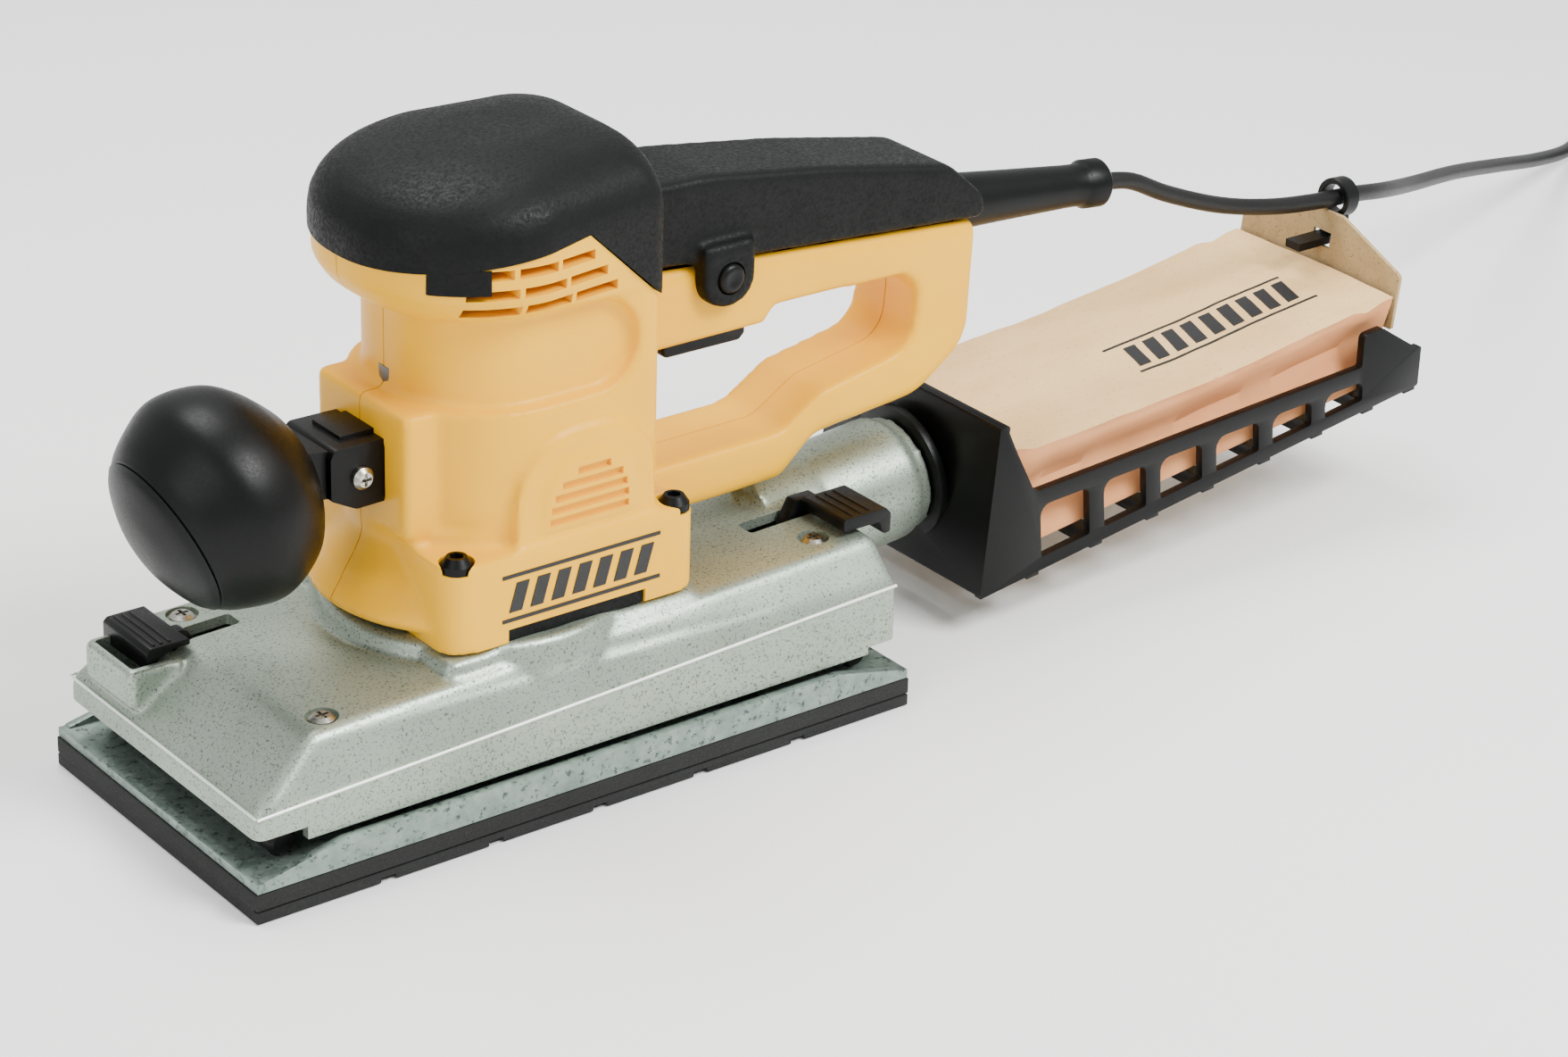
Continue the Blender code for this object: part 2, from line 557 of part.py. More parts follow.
def make_grip():
    """Black soft upper shell of the handle, with the lock button's boss."""
    grip = prism("handle_grip", rounded_outline(GRIP_OUTLINE), -GRIP_HALF, GRIP_HALF,
                 "black_rubber", rim=6.5, rim_steps=2)
    boss = prism("button_boss", rounded_outline(((62.5, 150, 0), (62.5, 132.5, 8.0),
                 (80.5, 132.5, 8.0), (80.5, 150, 0))), -21.5, -10.0, None, collection=CUTTERS)
    clear = prism("boss_clear", rounded_outline(((20, 148.4, 0), (20, 120, 0), (180, 120, 0),
                  (180, 136.7, 0), (84, 143.75, 0))), -16.5, 30, None, collection=CUTTERS)
    hollow = prism("grip_hollow", [(30, 130), (168, 130), (168, 148), (152, 153.5), (110, 162.5),
                                   (66, 169), (30, 170)], -13.6, 13.6, None, collection=CUTTERS)
    hole = bpy.data.objects["relief_hole"]
    fuse(grip, boss)
    cut(grip, clear, hollow, hole, bpy.data.objects["button_hole"])


def make_front_handle():
    """Black arm with its clamp screw, and the round knob in two pieces."""
    prism("front_handle_arm", [(-39.5, 95.6), (-39.5, 113.5), (-52, 113.9), (-69, 116.0),
                               (-79, 117.2), (-79, 103.0), (-66, 98.4), (-56, 95.6)],
          -12.8, 12.8, "black_plastic", rim=1.2, rim_steps=1)
    turned("arm_bolt", (-53.3, -13.1, 104.6), ((0, 2.4), (2.2, 2.1), (3.4, 0.6), (3.4, 0),
                  (0, 0)), "steel", direction=(0, -1, 0), sides=14)
    knob_axis = Vector((-1, 0, 0.16)).normalized()
    centre = Vector((-93.0, 0, 104.2))
    profile = ((0, 20.0), (9, 19.3), (18.5, 16.2), (25.5, 10.5), (30.2, 3.2), (32.3, -5.0),
               (31.6, -12.5), (27.5, -19.5), (20.0, -24.4), (13.0, -26.2), (0, -26.2))
    knob = turned("knob", centre, profile, "black_rubber", direction=knob_axis, sides=28)
    turned("knob_cap", centre + knob_axis * 20.3, ((0, 8.6), (7, 8.0), (13.5, 5.4), (17.2, 1.6),
                 (17.6, 0.0), (0, 0.0)), "black_rubber", direction=knob_axis, sides=28)
    cut(knob, block("knob_socket", (-79.4, -13.2, 97.9), (-50, 13.2, 117.7), None,
                    collection=CUTTERS))


# ---------------------------------------------------------------- motor
def make_motor():
    """Universal motor, fan, eccentric and bearings on the vertical axis."""
    axis = (MOTOR_X, 0, 0)
    turned("motor_shaft", axis, ((0, 177), (4.0, 177), (4.0, 160), (5.0, 159), (5.0, 38.8), (0, 38.8)),
           "steel", sides=20)
    hub = turned("eccentric_hub", axis, ((13, 48), (13, 37.5), (5.3, 37.5), (5.3, 48)), "steel",
                 sides=24)
    lobe = turned("balance_lobe", axis, ((30, 46), (30, 38.5), (11, 38.5), (11, 46)), None,
                  sides=28, collection=CUTTERS)
    lobe_trim = block("lobe_trim", (MOTOR_X - 2.0, -40, 30), (60, 40, 60), None, collection=CUTTERS)
    cut(lobe, lobe_trim)
    pin = turned("crank_pin", (MOTOR_X + THROW, 0, 0), ((0, 36.6), (7.7, 36.6), (7.7, 23.4),
                 (0, 23.4)), None, sides=20, collection=CUTTERS)
    web = turned("crank_web", axis, ((0, 38.4), (12.9, 38.4), (12.9, 36.2), (0, 36.2)), None,
                 sides=24, collection=CUTTERS)
    fuse(hub, lobe, web, pin)


def make_rotor():
    """Fan, core, commutator and bearing rings."""
    axis = (MOTOR_X, 0, 0)
    fan = turned("cooling_fan", axis, ((32, 63.4), (32, 61.8), (5.3, 61.8), (5.3, 70.5), (9, 70.5),
                 (9, 63.4)), "black_plastic", sides=28)
    for k in range(7):
        angle = 2 * pi * k / 7
        turn = Matrix.Translation((MOTOR_X, 0, 0)) @ Matrix.Rotation(angle, 4, "Z")
        fuse(fan, block(f"fan_blade_{k}", (8, -0.8, 63), (31, 0.8, 70.0), None, turn=turn,
                        collection=CUTTERS))
    ring("armature_core", axis, 5.3, 21.5, 92, 134, "steel", 28)
    ring("commutator", axis, 5.3, 12.0, 143, 155, "copper", 24)
    ring("pad_bearing", (MOTOR_X + THROW, 0, 0), 8.0, 16.0, 23.2, 35.2, "steel", 24)
    ring("lower_bearing", axis, 5.3, 13.0, 76, 84, "steel", 20)
    ring("upper_bearing", axis, 4.3, 10.5, 165, 173, "steel", 20)
    ring("motor_bracket", axis, 13.3, 33.5, 74, 86, "raw_casting", 28)
    ring("stator", axis, 22.6, 33.5, 95, 131, "steel", 28)
    ring("lower_field_winding", axis, 24.0, 31.5, 88, 94.7, "copper", 24)
    ring("upper_field_winding", axis, 24.0, 31.5, 131.3, 138, "copper", 24)


def make_electrics():
    """Brushes, switch, trigger, lock button, suppressor and cord clamp."""
    for side, name in ((-1, "left"), (1, "right")):
        inner, outer = 12.4, 29.0
        block(f"carbon_brush_{name}", (MOTOR_X - 4, min(side * inner, side * outer), 146),
              (MOTOR_X + 4, max(side * inner, side * outer), 152), "carbon")
    block("switch_body", (60, -7.5, 128.4), (90, 7.5, 135.6), "black_plastic", bevel=0.8)
    block("suppressor", (104, -8, 134.5), (126, 8, 148), "black_plastic", bevel=1.5)
    low, high = TRIGGER_SPAN
    prism("trigger", [(low, 113.2), (high - 2, 113.0), (high, 115), (high, 124), (low, 124)], -7.6, 7.6,
          "black_plastic", rim=0.8, rim_steps=1)
    turned("lock_button", (BUTTON_X, -23.2, BUTTON_Z), ((0, -0.6), (3.6, -0.6), (4.7, 0),
           (4.7, -13.5), (0, -13.5)), "black_plastic", direction=(0, -1, 0), sides=16)
    block("cord_clamp", (140, -8, 142), (156, 8, 147), "black_plastic", bevel=0.8)


# ---------------------------------------------------------------- cord
RELIEF_START, RELIEF_END = Vector((160.0, 0.0, 138.6)), Vector((238.0, 0.0, 131.0))
CORD_ROUTE = ((238.4, 0, 130.95), (252, 0.3, 128.3), (270, 1.2, 119.8), (296, 3.2, 109.9),
              (322, 5.2, 103.2), (346, 7.3, 99.4), (366, 9.2, 97.4), (392, 19, 90.5),
              (438, 48, 74.3), (500, 83, 55.5), (560, 114, 36.7), (612, 140, 20.5),
              (655, 162, 8.6), (682, 177, 3.9), (705, 190, 2.95))


def smooth_route(points, spacing):
    """Points at even spacing along a Catmull-Rom curve through a route."""
    route = [Vector(p) for p in points]
    route = [route[0] * 2 - route[1]] + route + [route[-1] * 2 - route[-2]]
    dense = []
    for a, b, c, d in zip(route, route[1:], route[2:], route[3:]):
        for k in range(24):
            t = k / 24
            dense.append(0.5 * ((2 * b) + (c - a) * t + (2 * a - 5 * b + 4 * c - d) * t * t
                                + (3 * b - a - 3 * c + d) * t ** 3))
    dense.append(route[-2])
    length = sum((q - p).length for p, q in zip(dense, dense[1:]))
    count = max(2, round(length / spacing))
    step, travelled, result = length / count, 0.0, [dense[0]]
    for p, q in zip(dense, dense[1:]):
        piece = (q - p).length
        while len(result) < count and travelled + piece >= step * len(result):
            result.append(p.lerp(q, (step * len(result) - travelled) / piece))
        travelled += piece
    result.append(dense[-1])
    return result


def make_cord():
    """Strain relief, free cord, stored coil and two-pin plug."""
    axis = RELIEF_END - RELIEF_START
    turned("strain_relief", RELIEF_START, ((0, 78.3), (6.6, 78.3), (8.0, 77), (8.0, 69), (7.0, 67.5),
           (7.4, 60), (9.2, 16), (9.2, 0), (0, 0)), "black_rubber", direction=axis, sides=20)
    tube("cord", smooth_route(CORD_ROUTE, 9.0), CORD_DIAMETER / 2, "black_rubber")


def make_coil():
    """The stored length as one ring, its loose tail and a two-pin plug."""
    reach = (COIL_WIDTH / 2) * CORD_DIAMETER + GAP
    ring("cord_coil", (*COIL_CENTRE, 0), COIL_RADIUS - reach, COIL_RADIUS + reach, 0.05,
         COIL_LAYERS * CORD_DIAMETER, "black_rubber", 32)
    tail = ((777.8, 161.7, 8.7), (780.9, 152.0, 8.5), (785.3, 138.0, 8.0), (789.0, 126.0, 7.7),
            PLUG_START)
    tube("cord_tail", smooth_route(tail, 8.0), CORD_DIAMETER / 2, "black_rubber")
    turned("plug_body", PLUG_START + PLUG_AIM * GAP, ((0, 46), (7.0, 46), (7.4, 45), (7.4, 26),
           (5.4, 17), (3.9, 2), (3.9, 0), (0, 0)), "black_plastic", direction=PLUG_AIM, sides=16)
    across = Vector((-PLUG_AIM.y, PLUG_AIM.x, 0))
    for side, name in ((-1, "left"), (1, "right")):
        base = PLUG_START + PLUG_AIM * (46 + 2 * GAP) + across * side * 4.75
        rod(f"plug_pin_{name}", base, base + PLUG_AIM * 18, 1.9, "steel", sides=10)


# ---------------------------------------------------------------- dust bag
BAG_TURN = (Matrix.Translation(BAG_ORIGIN) @ Matrix.Rotation(-BAG_PITCH, 4, "Y"))
POSTS = (52.5, 77.3, 102.3, 128.1, 152.5, 176.5)
RAIL_TOP_LINE = ((26.4, 0.8), (173.0, -4.7))       # (along, height) of the side rail's top
RAIL_BOTTOM_LINE = ((2.2, -29.5), (200.0, -20.7))
CLIP_CENTRE, CLIP_AIM = (359.0, 8.5, 98.1), (1.0, 0.09, -0.09)


def on_line(line, along):
    """Height of a straight line at a distance along the frame."""
    (s0, h0), (s1, h1) = line
    return h0 + (h1 - h0) * (along - s0) / (s1 - s0)


def bag_prism(name, outline, low, high, finish, collection=PARTS, rim=0.0):
    """A side-view prism in the bag frame's tilted axes."""
    obj = prism(name, outline, low, high, finish, rim=rim, rim_steps=1, collection=collection)
    obj.location = Vector(BAG_ORIGIN) * MM
    obj.rotation_euler = (0, -BAG_PITCH, 0)
    return obj


def make_bag_frame():
    """Black carrier: front panel with a spigot, ladder sides, cross bars and rear bar."""
    panel = bag_prism("bag_frame", [(2.2, -29.4), (6.2, -29.4), (17, 28.5), (13, 28.5)], -FRAME_HALF,
                      FRAME_HALF, "black_plastic")
    side = [(2.5, -29.5), (200, -20.7), (201.5, -6), (199, -6), (182.7, 6.8), (174, 6.8),
            (173, -4.7), (26.4, 0.8), (19.4, 17.9), (15.5, 28.4), (13.4, 28.4)]
    for sign in (-1, 1):
        low, high = sorted((sign * FRAME_HALF, sign * (FRAME_HALF - 3.0)))
        wall = bag_prism(f"bag_side_{sign}", side, low - 0.001, high, None, CUTTERS)
        fuse(panel, wall)
    starts = [28.5] + [post + 3.2 for post in POSTS]
    ends = [post - 3.2 for post in POSTS]
    for k, (s0, s1) in enumerate(zip(starts, ends)):
        window = rounded_outline([(s0, on_line(RAIL_BOTTOM_LINE, s0) + 4.6, 0),
                                  (s1, on_line(RAIL_BOTTOM_LINE, s1) + 4.6, 0),
                                  (s1, on_line(RAIL_TOP_LINE, s1) - 5.6, 2.0),
                                  (s0, on_line(RAIL_TOP_LINE, s0) - 5.6, 4.0)], steps=2)
        cut(panel, bag_prism(f"bag_window_{k}", window, -60, 60, None, CUTTERS))
    for k, post in enumerate((25.0, *POSTS, 196.5)):
        low = on_line(RAIL_BOTTOM_LINE, post) - 1.4
        bar = bag_prism(f"bag_cross_{k}", [(post - 2.6, low), (post + 2.6, low), (post + 2.6, low + 5),
                                          (post - 2.6, low + 5)], 0.5 - FRAME_HALF,
                        FRAME_HALF - 0.5, None, CUTTERS)
        fuse(panel, bar)
    rear = bag_prism("bag_rear", [(197.2, -20.4), (200.2, -20.4), (200.2, -6.6), (197.2, -6.6)],
                     -FRAME_HALF + 0.4, FRAME_HALF - 0.4, None, CUTTERS)
    spigot = turned("spigot", BAG_ORIGIN, ((22.5, 7.0), (22.5, 4.3), (17.1, 4.3), (17.1, -14),
                    (14.8, -14), (14.8, 7.0)), None, direction=OUTLET_AIM, sides=28,
                    collection=CUTTERS)
    throat = turned("bag_throat", BAG_ORIGIN, ((0, 40), (14.2, 40), (14.2, -2), (0, -2)), None,
                    direction=OUTLET_AIM, sides=28, collection=CUTTERS)
    fuse(panel, rear, spigot)
    cut(panel, throat)


def make_bag():
    """Paper bag, cardboard collar, rear flap and the clip for the lead."""
    bag_prism("paper_bag", [(10.9, -21.5), (187, -15.5), (189.8, 14.2), (28, 12.9), (21.5, 17.5),
              (18.5, 17.5)], -38.5, 38.5, "paper", rim=2.0)
    collar = bag_prism("bag_collar", [(8.1, -22), (9.7, -22), (18.3, 24.5), (16.8, 24.5)], -38.8,
                       38.8, "cardboard")
    hole = turned("collar_hole", BAG_ORIGIN, ((0, 40), (14, 40), (14, -20), (0, -20)), None,
                  direction=OUTLET_AIM, sides=20, collection=CUTTERS)
    cut(collar, hole)
    bm = bmesh.new()
    outline = ((-38.5, 2), (38.5, 2), (38.5, 20.5), (8, 32.1), (-8, 32.1), (-38.5, 20.5))
    lower = [bm.verts.new((190.6 + 0.22 * (h - 2), y, h)) for y, h in outline]
    face = bm.faces.new(lower)
    grown = bmesh.ops.extrude_face_region(bm, geom=[face])
    moved = [g for g in grown["geom"] if isinstance(g, bmesh.types.BMVert)]
    bmesh.ops.translate(bm, vec=(1.3, 0, 0), verts=moved)
    bmesh.ops.transform(bm, matrix=BAG_TURN, verts=bm.verts)
    flap = finish_bmesh("bag_flap", bm, "cardboard")
    slot = block("flap_slot", (335, OUTLET_Y - 4.2, 82), (356, OUTLET_Y + 4.2, 87.4), None,
                 collection=CUTTERS)
    cut(flap, slot)
    clip = turned("cord_clip", CLIP_CENTRE, ((7.0, 3.2), (7.0, -3.2), (4.9, -3.2), (4.9, 3.2)),
                  "black_plastic", direction=CLIP_AIM, sides=20)
    stem = prism("clip_stem", [(361, 92.2), (361, 83.4), (338, 83.4), (338, 86.2), (354.2, 86.2),
                               (356.4, 92.2)], OUTLET_Y - 3.4, OUTLET_Y + 3.4, None,
                 collection=CUTTERS)
    fuse(clip, stem)


BUILDERS = (make_pad, make_platen, make_clamps, make_shroud, make_shroud_screws, make_isolators,
            make_housing, make_plugs, make_seal_ring, make_cap, make_grip, make_front_handle,
            make_motor, make_rotor, make_electrics, make_cord, make_coil,
            make_bag_frame, make_bag)
for build in BUILDERS:
    build()
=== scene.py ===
"""Looks of a corded half-sheet orbital sander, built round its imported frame.

Lengths in this file are millimetres unless a name ends in _m.  The frame has +Z up, the knob end at
-X, the dust bag end at +X, and its origin under the middle of the sanding pad.
"""
import logging
from dataclasses import dataclass
from enum import Enum
from math import atan2, cos, pi, radians, sin, tau
from typing import Iterable, Sequence

import bmesh
import bpy
from mathutils import Matrix, Vector, noise


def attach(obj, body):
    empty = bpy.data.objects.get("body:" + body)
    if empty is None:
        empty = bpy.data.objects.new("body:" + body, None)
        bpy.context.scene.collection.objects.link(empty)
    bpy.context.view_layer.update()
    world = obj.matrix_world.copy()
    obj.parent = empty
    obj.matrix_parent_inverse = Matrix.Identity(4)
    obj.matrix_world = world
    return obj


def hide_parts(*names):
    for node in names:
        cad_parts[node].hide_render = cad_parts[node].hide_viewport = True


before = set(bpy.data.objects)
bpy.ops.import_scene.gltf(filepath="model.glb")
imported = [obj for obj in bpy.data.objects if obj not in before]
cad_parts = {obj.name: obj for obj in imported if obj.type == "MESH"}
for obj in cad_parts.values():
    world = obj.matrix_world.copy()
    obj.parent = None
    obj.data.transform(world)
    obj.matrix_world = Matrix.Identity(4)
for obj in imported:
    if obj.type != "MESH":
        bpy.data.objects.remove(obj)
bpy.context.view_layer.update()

LOG = logging.getLogger("sander")
MM = 0.001
Outline = Sequence[tuple[float, float]]
Corners = Sequence[tuple[float, float, float]]
Object = bpy.types.Object
Material = bpy.types.Material

MOTOR_X = -4.0                 # motor axis
THROW = 1.2                    # orbit radius of the pad
ROUND = 32                     # faces round a fastener
COIL_STEPS = 36                # points on each turn of the stored lead
COIL_CROSSING = 6              # the lead moves over to its next turn within one turn in this many
COVER_TILT = 0.03              # rise of the head cover per mm along X
COVER_EDGE = 150.0             # height below which the cover's outlines lie level
SIDES = (-1, 1)                # left and right of the middle plane
BAG_ORIGIN = Vector((160.0, 8.0, 43.0))
BAG_PITCH = radians(5.7)
OUTLET_AIM = Vector((cos(BAG_PITCH), 0.0, sin(BAG_PITCH)))
BAG_TURN = Matrix.Translation(BAG_ORIGIN) @ Matrix.Rotation(-BAG_PITCH, 4, "Y")


class Join(Enum):
    """Ways to combine two closed solids."""

    ADD = "UNION"
    CUT = "DIFFERENCE"
    KEEP = "INTERSECT"


class Body(Enum):
    """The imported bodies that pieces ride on."""

    MACHINE = "machine"
    PLATEN = "platen"
    FRONT_CLAMP = "front_clamp"
    REAR_CLAMP = "rear_clamp"
    TRIGGER = "trigger"
    LOCK_BUTTON = "lock_button"
    DUST_BAG = "dust_bag"


# ---------------------------------------------------------------- materials
def linear(code: str) -> tuple[float, float, float, float]:
    """Turn an sRGB hex colour into linear RGBA.

    Args:
        code: Six hex digits after a hash.

    Returns:
        The colour as Blender's sockets take it.
    """
    parts = [int(code[i:i + 2], 16) / 255 for i in (1, 3, 5)]
    return (*(c / 12.92 if c <= 0.04045 else ((c + 0.055) / 1.055) ** 2.4 for c in parts), 1.0)


def add_node(tree: bpy.types.NodeTree, kind: str, values: dict | None = None,
             links: dict | None = None, **settings: object) -> bpy.types.Node:
    """Add one node, set its sockets and settings, and link its inputs.

    Args:
        tree: Node tree that takes the node.
        kind: Blender's type name for the node.
        values: Input name or index to a plain value.
        links: Input name or index to the output socket that feeds it.
        settings: Properties of the node itself.

    Returns:
        The new node.
    """
    node = tree.nodes.new(kind)
    for name, value in settings.items():
        setattr(node, name, value)
    for socket, value in (values or {}).items():
        node.inputs[socket].default_value = value
    for socket, source in (links or {}).items():
        tree.links.new(source, node.inputs[socket])
    return node


@dataclass(frozen=True)
class Finish:
    """A surface finish: its colours, gloss and fine relief.

    Attributes:
        title: Name of the material, after what it is and how it was made.
        colour: Main colour, sRGB hex.
        second: Colour of the soft variation across it.
        rough: Lowest and highest roughness.
        metallic: 0 for plastics and paper, near 1 for bare metal.
        patch: Size of the soft variation, mm.
        stretch: How much longer the variation is along X than across it.
        grain: Size of the relief's grain, mm.
        depth: Height of the relief, mm.
        fleck: Colour of the flecks, or an empty string for none.
        fleck_size: Size of the flecks, mm.
        fleck_share: Share of the surface under flecks, 0 to 1.
        ior: Refractive index of the surface.
        coat: Weight of a clear top coat.
        shine: Specular level; 0.5 is plain, less is duller.
    """

    title: str
    colour: str
    second: str
    rough: tuple[float, float]
    metallic: float = 0.0
    patch: float = 25.0
    stretch: float = 1.0
    grain: float = 0.8
    depth: float = 0.03
    fleck: str = ""
    fleck_size: float = 1.2
    fleck_share: float = 0.3
    ior: float = 1.5
    coat: float = 0.0
    shine: float = 0.5

    def build(self) -> Material:
        """Make the material, or hand back the one already made.

        Returns:
            The Blender material.
        """
        found = bpy.data.materials.get(self.title)
        if found:
            return found
        material = bpy.data.materials.new(self.title)
        material.use_nodes = True
        tree = material.node_tree
        shader = tree.nodes["Principled BSDF"]
        place = add_node(tree, "ShaderNodeTexCoord").outputs["Object"]
        along = add_node(tree, "ShaderNodeMapping", {"Scale": (1 / self.stretch, 1, 1)},
                         {"Vector": place}).outputs[0]
        broad = add_node(tree, "ShaderNodeTexNoise", {"Scale": 1 / (self.patch * MM), "Detail": 4.0,
                         "Roughness": 0.6}, {"Vector": along}).outputs[0]
        spread = add_node(tree, "ShaderNodeMapRange", {"From Min": 0.35, "From Max": 0.65},
                          {"Value": broad}).outputs[0]
        mixed = add_node(tree, "ShaderNodeMix", {"A": linear(self.colour), "B": linear(self.second)},
                         {"Factor": spread}, data_type="RGBA")
        colour = mixed.outputs["Result"]
        grain = add_node(tree, "ShaderNodeTexNoise", {"Scale": 1 / (self.grain * MM), "Detail": 3.0,
                         "Roughness": 0.65}, {"Vector": along}).outputs[0]
        if self.fleck:
            spots = add_node(tree, "ShaderNodeTexNoise", {"Scale": 1 / (self.fleck_size * MM),
                             "Detail": 5.0, "Roughness": 0.7}, {"Vector": place}).outputs[0]
            edge = 0.62 - 0.3 * self.fleck_share
            share = add_node(tree, "ShaderNodeMapRange", {"From Min": edge, "From Max": edge + 0.08},
                             {"Value": spots}).outputs[0]
            flecked = add_node(tree, "ShaderNodeMix", {"B": linear(self.fleck)},
                               {"Factor": share, "A": colour}, data_type="RGBA")
            colour = flecked.outputs["Result"]
        tree.links.new(colour, shader.inputs["Base Color"])
        gloss = add_node(tree, "ShaderNodeMapRange", {"From Min": 0.3, "From Max": 0.7,
                         "To Min": self.rough[0], "To Max": self.rough[1]}, {"Value": grain})
        tree.links.new(gloss.outputs[0], shader.inputs["Roughness"])
        relief = add_node(tree, "ShaderNodeBump", {"Strength": 1.0, "Distance": self.depth * MM},
                          {"Height": grain})
        tree.links.new(relief.outputs[0], shader.inputs["Normal"])
        shader.inputs["Metallic"].default_value = self.metallic
        shader.inputs["Coat Weight"].default_value = self.coat
        shader.inputs["Specular IOR Level"].default_value = self.shine
        if not self.metallic:
            shader.inputs["IOR"].default_value = self.ior
        material.diffuse_color = linear(self.colour)
        return material


# Moulded glass-filled nylon, dyed through: satin, with the faint orange-peel of its mould.
YELLOW_NYLON = Finish("moulded_yellow_nylon", "#F4B400", "#EEAC00", (0.32, 0.46), grain=0.9, depth=0.012,
                      patch=60, shine=0.22)
# Black nylon mouldings: darker and a little glossier than the rubber.
BLACK_NYLON = Finish("moulded_black_nylon", "#050606", "#090A0A", (0.30, 0.46), grain=0.7, depth=0.02,
                     shine=0.18)
# Overmoulded elastomer: near black, dull, with a pebbled skin that catches light in specks.
BLACK_ELASTOMER = Finish("overmoulded_elastomer", "#040505", "#080A09", (0.36, 0.72), grain=1.1, depth=0.14,
                         patch=12, shine=0.16)
# The knob's elastomer is smoother than the cap's.
KNOB_ELASTOMER = Finish("smooth_elastomer", "#040505", "#080A09", (0.32, 0.46), grain=0.7, depth=0.02,
                        patch=18, shine=0.16)
# Silver paint on a die casting: metal flake under a clear binder, peppered with darker grains.
SILVER_PAINT = Finish("silver_casting_paint", "#9DA99B", "#929E90", (0.32, 0.46), 0.66, grain=0.8,
                      depth=0.03, fleck="#4F5A50", fleck_size=0.8, fleck_share=0.24, patch=30)
# Bare die-cast aluminium: cold grey with darker flow marks.
RAW_CASTING = Finish("raw_cast_aluminium", "#8D9B94", "#76857E", (0.30, 0.60), 0.75, grain=1.6,
                     depth=0.10, fleck="#4A5651", fleck_size=2.4, fleck_share=0.22, patch=7)
# Painted highlight: a near-white strip, far brighter than the bare casting, for the light caught along the
# shroud's parting line ridge.
PARTING_LINE_HIGHLIGHT = Finish("painted_edge_highlight", "#F2F6F0", "#E4EAE2", (0.3, 0.4), 0.6)
# Closed-cell foam pad: dull black with open pores at its cut edge.
PAD_FOAM = Finish("closed_cell_foam", "#0A0B0A", "#121412", (0.75, 0.95), grain=0.7, depth=0.12,
                  fleck="#1C201D", fleck_size=1.6, fleck_share=0.1)
# Zinc-plated steel screws and ground motor parts.
ZINC_STEEL = Finish("zinc_plated_steel", "#B9B6AC", "#9C9A92", (0.22, 0.38), 1.0, grain=0.5, depth=0.01)
# Stacked electrical steel of the motor cores.
CORE_STEEL = Finish("core_laminations", "#7D7F80", "#6A6C6D", (0.35, 0.5), 1.0, grain=0.5, stretch=6)
# Enamelled copper wire.
COPPER_WIRE = Finish("enamelled_copper", "#B4622F", "#9A4F22", (0.25, 0.4), 1.0, grain=0.5, depth=0.05)
# Pressed carbon brushes.
CARBON = Finish("pressed_carbon", "#26272A", "#1C1D1F", (0.6, 0.75))
# Unbleached kraft paper: warm tan, with long pulp fibres and a dry matt face.
KRAFT_PAPER = Finish("kraft_paper", "#E2BD83", "#DAB177", (0.75, 0.9), patch=14, stretch=2.5, grain=0.7,
                     depth=0.02, fleck="#C69A62", fleck_size=1.4, fleck_share=0.12)
# The same kraft paper, darker and warmer: painted shade for the bag's sideways-facing faces.
SIDE_SHADE_PAPER = Finish("kraft_paper_painted_shade", "#DE9A66", "#D38D58", (0.75, 0.9), patch=16, stretch=3,
                      grain=0.7, depth=0.02)
# Grey-brown cardboard, flecked with recycled fibre.
GREYBOARD = Finish("recycled_greyboard", "#B0966A", "#A3895E", (0.8, 0.95), patch=9, grain=0.8, depth=0.04,
                   fleck="#7B6745", fleck_size=1.0, fleck_share=0.16)
# Printing ink on plastic and paper.
BLACK_INK = Finish("black_ink", "#0E0E0E", "#141414", (0.5, 0.6), grain=0.5, depth=0.005)
# Rubber sheath of the lead.
LEAD_RUBBER = Finish("lead_rubber", "#050505", "#080808", (0.40, 0.55), grain=0.6, depth=0.02, shine=0.3)
# Nickel-plated brass pins.
PIN_BRASS = Finish("nickelled_brass", "#C9BC98", "#BDAF89", (0.18, 0.3), 1.0, grain=0.4, depth=0.005)
# Matt sweep under the tool.
STAGE_PAPER = Finish("backdrop_paper", "#F7F8F7", "#F5F6F5", (0.9, 0.95), patch=400, depth=0.0)


# ---------------------------------------------------------------- mesh tools
def to_object(name: str, bm: bmesh.types.BMesh, turn: Matrix | None = None) -> Object:
    """Make an object from a millimetre bmesh, with its place in the mesh.

    Args:
        name: Name of the piece.
        bm: The mesh; it is freed.
        turn: Optional millimetre matrix applied first.

    Returns:
        The new object, at the origin.
    """
    if turn is not None:
        bmesh.ops.transform(bm, matrix=turn, verts=bm.verts)
    bmesh.ops.scale(bm, vec=(MM, MM, MM), verts=bm.verts)
    bmesh.ops.recalc_face_normals(bm, faces=bm.faces)
    mesh = bpy.data.meshes.new(name)
    bm.to_mesh(mesh)
    bm.free()
    obj = bpy.data.objects.new(name, mesh)
    bpy.context.scene.collection.objects.link(obj)
    return obj


def apply_modifiers(obj: Object) -> Object:
    """Turn an object's modifiers into plain mesh."""
    bpy.context.view_layer.update()
    graph = bpy.context.evaluated_depsgraph_get()
    mesh = bpy.data.meshes.new_from_object(obj.evaluated_get(graph))
    obj.modifiers.clear()
    old, obj.data = obj.data, mesh
    bpy.data.meshes.remove(old)
    return obj


def modify(obj: Object, kind: str, **settings: object) -> Object:
    """Apply one modifier with its settings.

    Args:
        obj: Object to change.
        kind: Blender's modifier type.
        settings: The modifier's properties.

    Returns:
        The same object, as plain mesh.
    """
    modifier = obj.modifiers.new(kind.lower(), kind)
    for name, value in settings.items():
        setattr(modifier, name, value)
    return apply_modifiers(obj)


